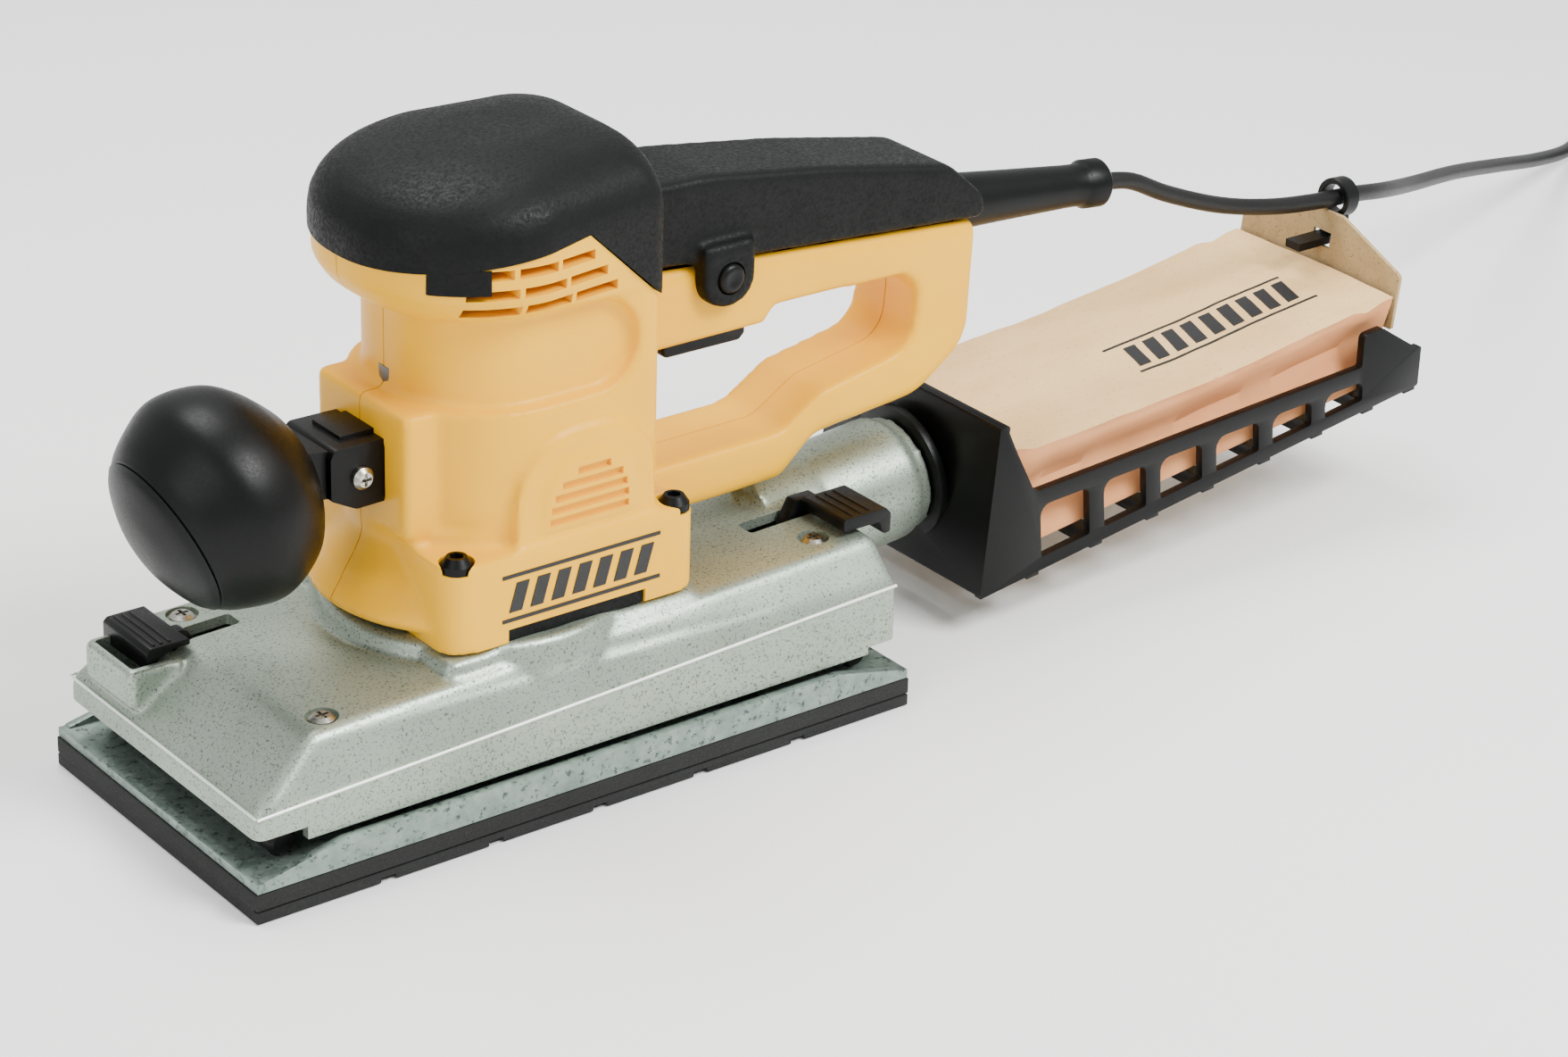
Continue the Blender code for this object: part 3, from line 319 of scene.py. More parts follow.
def combine(target: Object, tools: Iterable[Object], how: Join) -> Object:
    """Combine closed solids with one exact Boolean and drop the tools.

    Args:
        target: Solid that is kept.
        tools: Solids that are used up.
        how: Whether they are added, cut away or kept in common.

    Returns:
        The target.
    """
    tools = list(tools)
    group = bpy.data.collections.new("tools")
    for tool in tools:
        group.objects.link(tool)
    modify(target, "BOOLEAN", operation=how.value, operand_type="COLLECTION", collection=group,
           solver="EXACT")
    for tool in tools:
        bpy.data.objects.remove(tool, do_unlink=True)
    bpy.data.collections.remove(group)
    return target


def soften(obj: Object, voxel: float, passes: int) -> Object:
    """Rebuild a solid as an even skin and relax it, which rounds its edges and inner corners.

    Args:
        obj: Closed solid, or several that overlap.
        voxel: Size of the skin's faces, mm.
        passes: Number of relaxing passes.

    Returns:
        The same object.
    """
    modify(obj, "REMESH", mode="VOXEL", voxel_size=voxel * MM, use_smooth_shade=True)
    return modify(obj, "SMOOTH", factor=0.5, iterations=passes)


def chamfer(obj: Object, width: float, segments: int = 2, angle: float = 35.0) -> Object:
    """Round the sharp edges of a low-poly solid."""
    return modify(obj, "BEVEL", width=width * MM, segments=segments, limit_method="ANGLE",
                  angle_limit=radians(angle), harden_normals=False)


def shade(obj: Object, angle: float = 35.0) -> Object:
    """Shade smooth except across edges sharper than an angle."""
    obj.data.shade_smooth()
    obj.data.set_sharp_from_angle(angle=radians(angle))
    return obj


def merge(name: str, parts: Iterable[Object]) -> Object:
    """Put several objects in one mesh without combining them.

    Args:
        name: Name of the merged piece.
        parts: Objects that are used up.

    Returns:
        The merged object.
    """
    bm = bmesh.new()
    for part in parts:
        bm.from_mesh(part.data)
        bpy.data.objects.remove(part, do_unlink=True)
    mesh = bpy.data.meshes.new(name)
    bm.to_mesh(mesh)
    bm.free()
    obj = bpy.data.objects.new(name, mesh)
    bpy.context.scene.collection.objects.link(obj)
    return obj


def aim_matrix(origin: Sequence[float], aim: Sequence[float]) -> Matrix:
    """Matrix that carries +Z at the origin to a direction at a point."""
    return Matrix.Translation(Vector(origin)) @ Vector(aim).to_track_quat("Z", "Y").to_matrix().to_4x4()


def block(name: str, low: Sequence[float], high: Sequence[float]) -> Object:
    """A box between two corners."""
    bm = bmesh.new()
    bmesh.ops.create_cube(bm, size=1.0)
    low, high = Vector(low), Vector(high)
    bmesh.ops.scale(bm, vec=high - low, verts=bm.verts)
    bmesh.ops.translate(bm, vec=(high + low) / 2, verts=bm.verts)
    return to_object(name, bm)


def rod(name: str, start: Sequence[float], end: Sequence[float], radius: float, sides: int = 40) -> Object:
    """A cylinder between two points."""
    start, end = Vector(start), Vector(end)
    bm = bmesh.new()
    bmesh.ops.create_cone(bm, cap_ends=True, segments=sides, radius1=radius, radius2=radius,
                          depth=(end - start).length)
    return to_object(name, bm, aim_matrix((start + end) / 2, end - start))


def skin(name: str, rings: Sequence[Sequence[Vector]], turn: Matrix | None = None) -> Object:
    """Skin a stack of equal-count rings and cap both ends.

    Args:
        name: Name of the piece.
        rings: Rings of points, in order.
        turn: Optional matrix applied to the result.

    Returns:
        The new object.
    """
    bm = bmesh.new()
    rows = [[bm.verts.new(point) for point in ring] for ring in rings]
    count = len(rows[0])
    for lower, upper in zip(rows, rows[1:]):
        for i in range(count):
            j = (i + 1) % count
            bm.faces.new((lower[i], lower[j], upper[j], upper[i]))
    for row in (rows[0], rows[-1]):
        bm.faces.new(row)
    bmesh.ops.remove_doubles(bm, verts=bm.verts, dist=1e-4)
    return to_object(name, bm, turn)


def lathe(name: str, profile: Outline, origin: Sequence[float], aim: Sequence[float] = (0, 0, 1),
          steps: int = 72) -> Object:
    """Turn a (radius, height) outline about an axis; ends on the axis are closed to a point.

    Args:
        name: Name of the piece.
        profile: Outline from one end to the other, or a ring's whole outline.
        origin: Point on the axis at height 0.
        aim: Direction of the axis.
        steps: Faces round the axis.

    Returns:
        The new object.
    """
    bm = bmesh.new()
    closed = all(radius > 1e-6 for radius, _ in profile)
    rows = []
    for radius, height in profile:
        if radius < 1e-6:
            rows.append([bm.verts.new((0, 0, height))] * steps)
        else:
            rows.append([bm.verts.new((radius * cos(tau * k / steps), radius * sin(tau * k / steps),
                                       height)) for k in range(steps)])
    pairs = list(zip(rows, rows[1:])) + ([(rows[-1], rows[0])] if closed else [])
    for one, two in pairs:
        for k in range(steps):
            j = (k + 1) % steps
            ring = list(dict.fromkeys((one[k], one[j], two[j], two[k])))
            if len(ring) > 2:
                bm.faces.new(ring)
    return to_object(name, bm, aim_matrix(origin, aim))


def smooth_path(points: Sequence[Sequence[float]], steps: int) -> list[Vector]:
    """Points along a Catmull-Rom curve through a route."""
    route = [Vector(p) for p in points]
    route = [route[0] * 2 - route[1]] + route + [route[-1] * 2 - route[-2]]
    result = []
    for a, b, c, d in zip(route, route[1:], route[2:], route[3:]):
        for k in range(steps):
            t = k / steps
            result.append(0.5 * ((2 * b) + (c - a) * t + (2 * a - 5 * b + 4 * c - d) * t * t
                                 + (3 * b - a - 3 * c + d) * t ** 3))
    result.append(route[-2])
    return result


def flowing(points: Outline, steps: int = 8) -> list[tuple[float, float]]:
    """Points along a smooth curve through a few (radius, height) points."""
    return [(max(0.0, p[0]), p[1]) for p in smooth_path(points, steps)]


def rounded(corners: Corners, steps: int = 6) -> list[tuple[float, float]]:
    """Closed outline from (x, z, corner radius) points."""
    points: list[tuple[float, float]] = []
    for i, (x, z, radius) in enumerate(corners):
        here = Vector((x, z))
        back = (Vector(corners[i - 1][:2]) - here).normalized()
        ahead = (Vector(corners[(i + 1) % len(corners)][:2]) - here).normalized()
        if radius <= 0.0:
            points.append((x, z))
            continue
        half = back.angle(ahead) / 2
        centre = here + (back + ahead).normalized() * (radius / sin(half))
        reach = radius * cos(half) / sin(half)
        first, last = here + back * reach - centre, here + ahead * reach - centre
        sweep = atan2(first.x * last.y - first.y * last.x, first.dot(last))
        for k in range(steps + 1):
            turn = Matrix.Rotation(sweep * k / steps, 2)
            points.append(tuple(centre + turn @ first))
    return points


def drawn(name: str, points: Iterable[Sequence[float]], move: Sequence[float],
          turn: Matrix | None = None) -> Object:
    """Draw a flat face through points out into a solid.

    Args:
        name: Name of the piece.
        points: Corners of the face.
        move: How far the face is drawn.
        turn: Optional matrix applied to the result.

    Returns:
        The new object.
    """
    bm = bmesh.new()
    face = bm.faces.new([bm.verts.new(point) for point in points])
    grown = bmesh.ops.extrude_face_region(bm, geom=[face])
    moved = [g for g in grown["geom"] if isinstance(g, bmesh.types.BMVert)]
    bmesh.ops.translate(bm, vec=move, verts=moved)
    return to_object(name, bm, turn)


def slab(name: str, outline: Outline, low: float, high: float, turn: Matrix | None = None) -> Object:
    """Extrude a side-view (x, z) outline from y = low to y = high."""
    return drawn(name, [(x, low, z) for x, z in outline], (0, high - low, 0), turn)


def mirrored(near: float, far: float, side: int) -> tuple[float, float]:
    """Low and high y of a span on one side of the middle plane."""
    low, high = sorted((side * near, side * far))
    return low, high


def plan_ring(z: float, front: float, rear: float, half_front: float, half_rear: float, r_front: float,
              r_rear: float, inset: float = 0.0, tilt: float = 0.0, steps: int = 14) -> list[Vector]:
    """Rounded outline seen from above, moved inwards by an inset and tilted along X."""
    front, rear = front + inset, rear - inset
    half_front, half_rear = half_front - inset, half_rear - inset
    r_front, r_rear = max(1.0, r_front - inset), max(1.0, r_rear - inset)
    table = ((rear - r_rear, half_rear - r_rear, r_rear, 0), (front + r_front, half_front - r_front,
             r_front, 90), (front + r_front, r_front - half_front, r_front, 180),
             (rear - r_rear, r_rear - half_rear, r_rear, 270))
    points = []
    for cx, cy, radius, start in table:
        for i in range(steps + 1):
            angle = radians(start + 90.0 * i / steps)
            x = cx + radius * cos(angle)
            points.append(Vector((x, cy + radius * sin(angle), z + tilt * x)))
    return points


def finish_piece(obj: Object, finish: Finish, body: Body, slot: str, *nodes: str,
                 angle: float = 35.0) -> Object:
    """Dress a piece, put it on its body, and let it stand for CAD nodes.

    Args:
        obj: The piece.
        finish: Its surface finish.
        body: The body it rides on.
        slot: The record's material slot; not used.
        nodes: CAD nodes that it stands for.
        angle: Edges sharper than this stay crisp, degrees.

    Returns:
        The piece.
    """
    obj.data.materials.clear()
    obj.data.materials.append(finish.build())
    shade(obj, angle)
    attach(obj, body.value)
    if nodes:
        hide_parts(*nodes)
    LOG.info("%s: %d faces", obj.name, len(obj.data.polygons))
    return obj


def dress_node(node: str, finish: Finish) -> None:
    """Give a CAD node that stays its finish."""
    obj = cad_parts[node]
    obj.data.materials.clear()
    obj.data.materials.append(finish.build())
    LOG.info("%s: carried over", node)


# ---------------------------------------------------------------- Geometry Nodes
class Recess(Enum):
    """Drive shapes sunk in a fastener's head."""

    CROSS = 4
    HEX = 6


def new_tree(name: str, inputs: dict[str, float]) -> tuple[bpy.types.NodeTree, bpy.types.Node]:
    """Start a Geometry Nodes tree with named size inputs.

    Args:
        name: Name of the tree.
        inputs: Input names and their defaults, in millimetres.

    Returns:
        The tree and its group input node.
    """
    tree = bpy.data.node_groups.new(name, "GeometryNodeTree")
    tree.interface.new_socket("Geometry", in_out="INPUT", socket_type="NodeSocketGeometry")
    tree.interface.new_socket("Geometry", in_out="OUTPUT", socket_type="NodeSocketGeometry")
    for label, value in inputs.items():
        socket = tree.interface.new_socket(label, in_out="INPUT", socket_type="NodeSocketFloat")
        socket.default_value = value * MM
    return tree, add_node(tree, "NodeGroupInput")


def close_tree(tree: bpy.types.NodeTree, geometry: bpy.types.NodeSocket, finish: Finish) -> None:
    """End a tree with Realize Instances, Set Material and its output."""
    real = add_node(tree, "GeometryNodeRealizeInstances", links={0: geometry}).outputs[0]
    dressed = add_node(tree, "GeometryNodeSetMaterial", {"Material": finish.build()},
                       {"Geometry": real}).outputs[0]
    add_node(tree, "NodeGroupOutput", links={0: dressed})


def grow(name: str, points: Sequence[Sequence[float]], tree: bpy.types.NodeTree,
         sizes: dict[str, float], turn: Matrix | None = None) -> Object:
    """Run a tree on a set of points and keep the result as plain mesh.

    Args:
        name: Name of the piece.
        points: Points in millimetres, in the tree's own axes.
        tree: The Geometry Nodes tree.
        sizes: Input name to size, mm.
        turn: Optional millimetre matrix applied to the result.

    Returns:
        The new object.
    """
    mesh = bpy.data.meshes.new(name)
    mesh.from_pydata([Vector(p) * MM for p in points], [], [])
    obj = bpy.data.objects.new(name, mesh)
    bpy.context.scene.collection.objects.link(obj)
    modifier = obj.modifiers.new("grow", "NODES")
    modifier.node_group = tree
    for item in tree.interface.items_tree:
        if item.in_out == "INPUT" and item.name in sizes:
            modifier[item.identifier] = sizes[item.name] * MM
    apply_modifiers(obj)
    if turn is not None:
        shift = turn.copy()
        shift.translation = shift.translation * MM
        obj.data.transform(shift)
    return obj


def fastener_tree(name: str, recess: Recess, finish: Finish) -> bpy.types.NodeTree:
    """Domed heads with a sunk drive, one on each point.

    Args:
        name: Name of the tree.
        recess: Shape of the drive.
        finish: Finish of the heads.

    Returns:
        The tree, with inputs Radius, Height, Drive and Depth.
    """
    tree, given = new_tree(name, {"Radius": 3.9, "Height": 1.9, "Drive": 4.6, "Depth": 1.2})
    out = given.outputs
    half, low, top, slim, twice = (
        add_node(tree, "ShaderNodeMath", {1: factor}, {0: out[size]}, operation="MULTIPLY").outputs[0]
        for size, factor in (("Height", 0.5), ("Height", 0.25), ("Radius", 0.66), ("Drive", 0.24),
                             ("Depth", 2.0)))
    skirt = add_node(tree, "GeometryNodeMeshCylinder", {"Vertices": ROUND},
                     {"Radius": out["Radius"], "Depth": half}).outputs[0]
    dome = add_node(tree, "GeometryNodeMeshCone", {"Vertices": ROUND},
                    {"Radius Top": top, "Radius Bottom": out["Radius"], "Depth": half}).outputs[0]
    low_at, mid_at, top_at = (add_node(tree, "ShaderNodeCombineXYZ", links={"Z": height}).outputs[0]
                              for height in (low, half, out["Height"]))
    skirt = add_node(tree, "GeometryNodeTransform", links={"Geometry": skirt, "Translation": low_at})
    dome = add_node(tree, "GeometryNodeTransform", links={"Geometry": dome, "Translation": mid_at})
    cutters = []
    if recess is Recess.CROSS:
        for x, y in ((out["Drive"], slim), (slim, out["Drive"])):
            size = add_node(tree, "ShaderNodeCombineXYZ", links={"X": x, "Y": y, "Z": twice}).outputs[0]
            cutters.append(add_node(tree, "GeometryNodeMeshCube", links={"Size": size}).outputs[0])
    else:
        cutters.append(add_node(tree, "GeometryNodeMeshCylinder", {"Vertices": recess.value},
                                {"Radius": out["Drive"], "Depth": twice}).outputs[0])
    head = add_node(tree, "GeometryNodeMeshBoolean", operation="UNION")
    for part in (skirt.outputs[0], dome.outputs[0]):
        tree.links.new(part, head.inputs["Mesh 2"])
    result = head.outputs[0]
    for cutter in cutters:
        raised = add_node(tree, "GeometryNodeTransform", links={"Geometry": cutter,
                          "Translation": top_at}).outputs[0]
        result = add_node(tree, "GeometryNodeMeshBoolean", links={"Mesh 1": result, "Mesh 2": raised},
                          operation="DIFFERENCE").outputs[0]
    placed = add_node(tree, "GeometryNodeInstanceOnPoints", links={"Points": out["Geometry"],
                      "Instance": result}).outputs[0]
    close_tree(tree, placed, finish)
    return tree


def bar_tree(name: str, finish: Finish) -> bpy.types.NodeTree:
    """Equal bars, one on each point, with inputs Length, Width and Height.

    Args:
        name: Name of the tree.
        finish: Finish of the bars.

    Returns:
        The tree.
    """
    tree, given = new_tree(name, {"Length": 5.0, "Width": 5.0, "Height": 5.0})
    out = given.outputs
    size = add_node(tree, "ShaderNodeCombineXYZ", links={"X": out["Length"], "Y": out["Width"],
                    "Z": out["Height"]}).outputs[0]
    bar = add_node(tree, "GeometryNodeMeshCube", links={"Size": size}).outputs[0]
    placed = add_node(tree, "GeometryNodeInstanceOnPoints", links={"Points": out["Geometry"],
                      "Instance": bar}).outputs[0]
    close_tree(tree, placed, finish)
    return tree


# ---------------------------------------------------------------- lead
def sweep(name: str, path: Sequence[Vector], radius: float, sides: int = 14) -> Object:
    """A round tube along a path, closed at both ends."""
    rings = []
    side = Vector((0, 0, 1)).cross(path[1] - path[0]).normalized()
    for i, point in enumerate(path):
        ahead = (path[min(i + 1, len(path) - 1)] - path[max(i - 1, 0)]).normalized()
        side = (side - ahead * side.dot(ahead)).normalized()
        up = ahead.cross(side)
        rings.append([point + side * radius * cos(tau * k / sides) + up * radius * sin(tau * k / sides)
                      for k in range(sides)])
    return skin(name, rings)


@dataclass
class Lead:
    """Strain relief, one continuous lead with its stored coil, and a two-pin plug."""

    diameter: float = 5.8
    exit_at: tuple[float, float, float] = (238.4, 0.0, 130.95)
    relief: tuple[tuple[float, float, float], ...] = ((160.0, 0.0, 138.6), (238.0, 0.0, 131.0))
    coil_at: tuple[float, float] = (730.0, 146.7)
    radii: tuple[float, ...] = (43.6, 37.8, 32.0, 26.2, 20.4)
    plug_at: tuple[float, float, float] = (791.3, 118.7, 7.6)
    plug_aim: tuple[float, float, float] = (0.30, -0.954, 0.0)

    def route(self) -> list[Vector]:
        """The lead's centreline, from its strain relief to its plug."""
        run = [(252, .3, 128.3), (270, 1.2, 119.8), (296, 3.2, 109.9), (322, 5.2, 103.2),
               (346, 7.3, 99.4), (366, 9.2, 97.4), (392, 19, 90.5), (438, 48, 74.3), (500, 83, 55.5),
               (560, 114, 36.7), (612, 140, 20.5), (655, 162, 8.6), (682, 177, 3.9), (705, 190, 3.1)]
        free = smooth_path([Vector(p) for p in (self.exit_at, *run)], 6)
        coil: list[Vector] = []
        start, floor, upper = radians(100), self.diameter / 2 + 0.05, self.diameter * 1.5 + 0.05

        def add(theta: float, radius: float, z: float) -> None:
            """Add the coil's next point."""
            coil.append(Vector((self.coil_at[0] + radius * cos(theta),
                                self.coil_at[1] + radius * sin(theta), z)))

        def crossing(k: int) -> float:
            """Smooth share of the step to the next turn, 0 until the crossing begins."""
            moving = COIL_STEPS // COIL_CROSSING
            ease = max(0.0, (k - COIL_STEPS + moving) / moving)
            return ease * ease * (3 - 2 * ease)

        for turn, radius in enumerate(self.radii):
            for k in range(COIL_STEPS):
                theta = start - tau * (turn + k / COIL_STEPS)
                ease = crossing(k)
                last = turn == len(self.radii) - 1
                add(theta, radius - (0 if last else self.diameter * ease),
                    floor + (self.diameter * ease if last else 0))
        back = self.radii[::-1]
        turns = 4 + (start - radians(17.5)) / tau
        total = int(turns * COIL_STEPS)
        for n in range(total):
            turn, k = divmod(n, COIL_STEPS)
            theta = start - tau * n / COIL_STEPS
            ease = crossing(k)
            add(theta, back[min(turn, 4)] + (self.diameter * ease if turn < 4 else 6.2 * k / 10), upper)
        lead_in = [Vector((self.coil_at[0] + r * cos(a), self.coil_at[1] + r * sin(a), floor))
                   for a, r in ((radians(118), 45.4), (radians(109), 44.2))]
        tail = [Vector(p) for p in ((780.9, 152, 8.5), (785.3, 138, 8), (789, 126, 7.7), self.plug_at)]
        joined = smooth_path([free[-1], *lead_in, coil[0]], 4)[1:-1]
        ending = smooth_path([coil[-1], *tail], 6)[1:]
        return free + joined + coil + ending

    def build(self) -> None:
        """Make the lead first, then what is on it."""
        path = self.route()
        cord = finish_piece(sweep("mains_lead", path, self.diameter / 2, 12), LEAD_RUBBER, Body.MACHINE,
                            "cord_rubber", "cord", "cord_coil", "cord_tail", angle=60)
        aim = Vector(self.plug_aim).normalized()
        plug = lathe("mains_plug", ((0, 46.2), (6.2, 46.2), (7.4, 45), (7.4, 26), (6.9, 24.6), (6.9, 22),
                     (5.6, 17), (5.3, 14), (4.9, 13.6), (4.9, 11.6), (4.5, 11), (4.5, 8), (4.1, 7.4),
                     (3.9, 1.5), (3.5, 0.2), (0, 0.2)), self.plug_at, aim, 40)
        finish_piece(plug, BLACK_NYLON, Body.MACHINE, "black_plastic", "plug_body")
        across = Vector((-aim.y, aim.x, 0))
        pins = []
        for side in SIDES:
            base = Vector(self.plug_at) + aim * 46.0 + across * side * 4.75
            pins.append(lathe("pin", ((0, 18.4), (1.1, 18.2), (1.9, 17), (1.9, 0), (0, 0)), base, aim, 24))
        finish_piece(merge("plug_pins", pins), PIN_BRASS, Body.MACHINE, "pin_brass", "plug_pin_left",
                     "plug_pin_right")
        start, end = (Vector(p) for p in self.relief)
        profile = [(0, 78.3), (5.4, 78.3), (6.9, 77.9), (8.0, 76.6), (8.0, 70.2), (7.3, 68.9), (6.9, 67.6),
                   (7.0, 62), (7.6, 48), (8.3, 32), (9.1, 16), (9.3, 4), (9.3, 0), (0, 0)]
        finish_piece(lathe("cable_sleeve", profile, start, end - start, 56), KNOB_ELASTOMER, Body.MACHINE,
                     "black_rubber", "strain_relief")


# ---------------------------------------------------------------- base
@dataclass
class Base:
    """Foam pad, cast platen, paper clamps and the painted shroud."""

    pad: tuple[float, float, float] = (235.0, 115.0, 9.2)
    notch_pitch: float = 37.0
    plate: tuple[float, float] = (9.5, 12.3)
    rail_top: float = 18.3
    top_front: tuple[float, float, float] = (-92.0, 46.5, 48.0)
    top_rear: tuple[float, float, float] = (112.5, 43.5, 54.5)
    screws: tuple[tuple[float, float, float], ...] = ((-84, -39, 48.3), (-84, 39, 48.3),
                                                      (96.5, -33.6, 53.8), (96.5, 33.6, 53.8))

    def build_pad(self) -> None:
        """Black foam pad with five clamp notches along each long edge."""
        half_l, half_w = self.pad[0] / 2, self.pad[1] / 2
        pad = block("foam_pad", (-half_l, -half_w, 0), (half_l, half_w, self.pad[2]))
        cuts = [block("notch", (k * self.notch_pitch - 2.5, side * half_w - 1.5, -2),
                      (k * self.notch_pitch + 2.5, side * half_w + 1.5, 1.6))
                for side in SIDES for k in range(-2, 3)]
        groove = [block("groove", (-half_l - 2, side * half_w - 0.6, 3.6),
                        (half_l + 2, side * half_w + 2, 4.1))
                  for side in SIDES]
        combine(pad, cuts + groove, Join.CUT)
        finish_piece(chamfer(pad, 0.35), PAD_FOAM, Body.PLATEN, "pad_foam", "sanding_pad")

    def build_platen(self) -> None:
        """Cast platen with upturned rails, boss and clamp lugs."""
        low, high = self.plate
        half_l, half_w = self.pad[0] / 2 - 0.5, self.pad[1] / 2 - 0.3
        platen = block("cast_platen", (-half_l, -half_w, low), (half_l, half_w, high))
        rail = rounded(((-half_l + 2, low + 0.5, 0), (half_l - 2, low + 0.5, 0), (half_l - 2, high + 0.4, 1),
                        (90.0, self.rail_top, 3), (-88.0, self.rail_top, 3), (-half_l + 2, high + 0.4, 1)))
        adds = [slab("rail", rail, *mirrored(half_w, half_w - 2.8, s)) for s in SIDES]
        centre = MOTOR_X + THROW
        adds.append(rod("boss", (centre, 0, low + 0.5), (centre, 0, 36), 21, 64))
        for px, y in ((-80.0, 27.5), (88.0, -16.3)):
            for k in SIDES:
                y0 = y + k * 4.1
                adds.append(block("lug", (px - 5, y0 - 1.5, low + 0.5), (px + 5, y0 + 1.5, 30)))
            adds.append(rod("pin", (px, y - 4.5, 25), (px, y + 4.5, 25), 1.5, 20))
        combine(platen, adds, Join.ADD)
        combine(platen, [rod("bore", (centre, 0, 22.7), (centre, 0, 40), 16.3, 48)], Join.CUT)
        finish_piece(chamfer(platen, 0.45), RAW_CASTING, Body.PLATEN, "raw_casting", "platen")

    def build_clamps(self) -> None:
        """Paper clamp levers with ribbed thumb tabs, and their bars."""
        rows = (("front", -80.0, 27.5, Body.FRONT_CLAMP,
                 ((-83.5, 22.5, 2), (-77.5, 22, 2), (-76.5, 27, 2), (-90.5, 50.8, 2), (-98, 50.8, 0),
                  (-97, 48, 0)),
                 ((-92.6, 48.9, 0.4), (-92.6, 50.8, 0.8), (-105.5, 50.8, 1.4), (-106.8, 49.5, 1.0),
                  (-106.8, 43, 0.8), (-104.5, 43, 0.8), (-103, 47, 1.5), (-98, 48.9, 1)), (19.5, 45.5)),
                ("rear", 88.0, -16.3, Body.REAR_CLAMP,
                 ((85.5, 22, 2), (91.5, 22.5, 2), (109.5, 57, 0.5), (109.5, 59.2, 0), (101, 59.2, 1),
                  (84.5, 27, 2)),
                 ((103, 56.4, 0.5), (117.2, 56.4, 1), (118.8, 52, 0.8), (121.5, 52, 0.8), (121.5, 58.5, 1.5),
                  (119.5, 60.6, 1.5), (103, 60.6, 1)), (-40.5, -20.0)))
        for name, px, y, clamp, stem, tab, (low, high) in rows:
            lever = slab(f"{name}_paper_lever", rounded(stem, 4), y - 2.2, y + 2.2)
            inner, outer = sorted((px, 97.8 if px > 0 else -97.8))
            adds = [slab("tab", rounded(tab, 4), low, high),
                    block("pull", (inner, y - 2.1, 19.0), (outer, y + 2.1, 24.0))]
            for k in range(3):
                x = (-98.5 - 2.6 * k) if px < 0 else (107.0 + 3.4 * k)
                top = 50.7 if px < 0 else 60.5
                adds.append(rod("rib", (x, low + 1.5, top), (x, high - 1.5, top), 0.55, 12))
            if high < y:
                adds.append(block("bridge", (103.5, high - 1, 56.8), (109, y - 1.2, 59)))
            combine(lever, adds, Join.ADD)
            combine(lever, [rod("hole", (px, y - 8, 25), (px, y + 8, 25), 1.9, 20)], Join.CUT)
            finish_piece(chamfer(lever, 0.5), BLACK_NYLON, clamp, "black_plastic", f"{name}_clamp_lever")
            bar = lathe(f"{name}_paper_bar", ((0, 48.5), (3.4, 48.5), (4.6, 47), (4.6, 30), (4.1, 29),
                        (4.1, -29), (4.6, -30), (4.6, -47), (3.4, -48.5), (0, -48.5)),
                        ((-103.0 if px < 0 else 103.0), 0, 17.6), (0, 1, 0), 32)
            finish_piece(bar, BLACK_NYLON, clamp, "black_rubber", f"{name}_clamp_bar")

    def rings(self, offset: float, drop: float) -> list[list[Vector]]:
        """The shroud's outline at its lip, fold and top, moved inwards."""
        def rect(front: float, rear: float, half_f: float, half_r: float, z_f: float,
                 z_r: float) -> list[Vector]:
            """Four corners of one outline."""
            front, rear, half_f, half_r = front + offset, rear - offset, half_f - offset, half_r - offset
            return [Vector(p) for p in ((rear, half_r, z_r), (front, half_f, z_f), (front, -half_f, z_f),
                                        (rear, -half_r, z_r))]
        (xf, hf, zf), (xr, hr, zr) = self.top_front, self.top_rear
        return [rect(-114.7, 115.5, 53.6, 53.6, 8.0, 8.0), rect(-114.7, 115.5, 53.6, 52.8, 31.0, 40.5),
                rect(xf, xr, hf, hr, zf - drop, zr - drop)]

    def build_shroud(self) -> None:
        """Painted cast shroud: a soft folded box with plinth, windows and dust outlet."""
        shroud = skin("cast_shroud", self.rings(0.0, 0.0))
        chamfer(shroud, 2.6, 3, 18)
        pipe = lathe("pipe", ((0, -66), (20.6, -66), (20.6, -2.4), (19.0, -0.4), (19.0, 3.5), (0, 3.5)),
                     BAG_ORIGIN, OUTLET_AIM, 64)
        plinth = lathe("plinth", ((0, 55.2), (45.4, 55.2), (46.6, 54.2), (49.5, 46), (0, 46)),
                       (MOTOR_X - 2, 0, 0), steps=96)
        deck = chamfer(block("deck", (-44, -43.4, 42), (46.4, 43.4, 54.2)), 3.0, 3)
        fillet = lathe("fillet", ((0, -62), (25, -62), (22.6, -50), (21.0, -38), (0, -38)), BAG_ORIGIN,
                       OUTLET_AIM, 64)
        rim = chamfer(block("rim", (-114.2, 16.4, 34), (-96.6, 44.2, 46.4)), 1.5, 2)
        combine(shroud, [plinth, deck, pipe, fillet], Join.ADD)
        combine(shroud, [rim], Join.ADD)
        soften(shroud, 1.15, 4)
        hollow = skin("hollow", self.rings(3.0, 3.2))
        below = slab("below", ((-140, -20), (140, -20), (140, 22), (104, 22), (104, 19.6), (-98, 19.6),
                               (-98, 23.6), (-140, 23.6)), -80, 80)
        cuts = [below,
                rod("mouth", (MOTOR_X, 0, 40), (MOTOR_X, 0, 60), 36.0, 64),
                chamfer(block("front_slot", (-99.5, 23.8, 38), (-72.8, 31.2, 70)), 1.2),
                chamfer(block("front_window", (-112.2, 19, 33.4), (-99, 41.5, 70)), 1.2),
                chamfer(block("rear_slot", (82.8, -20, 42), (111, -12.6, 70)), 1.2)]
        cuts += [rod("recess", (x, y, z - 1.6), (x, y, z + 8), 5.0, 32) for x, y, z in self.screws]
        bore = lathe("bore", ((0, -25), (17.2, -25), (17.2, -80), (0, -80)), BAG_ORIGIN, OUTLET_AIM, 48)
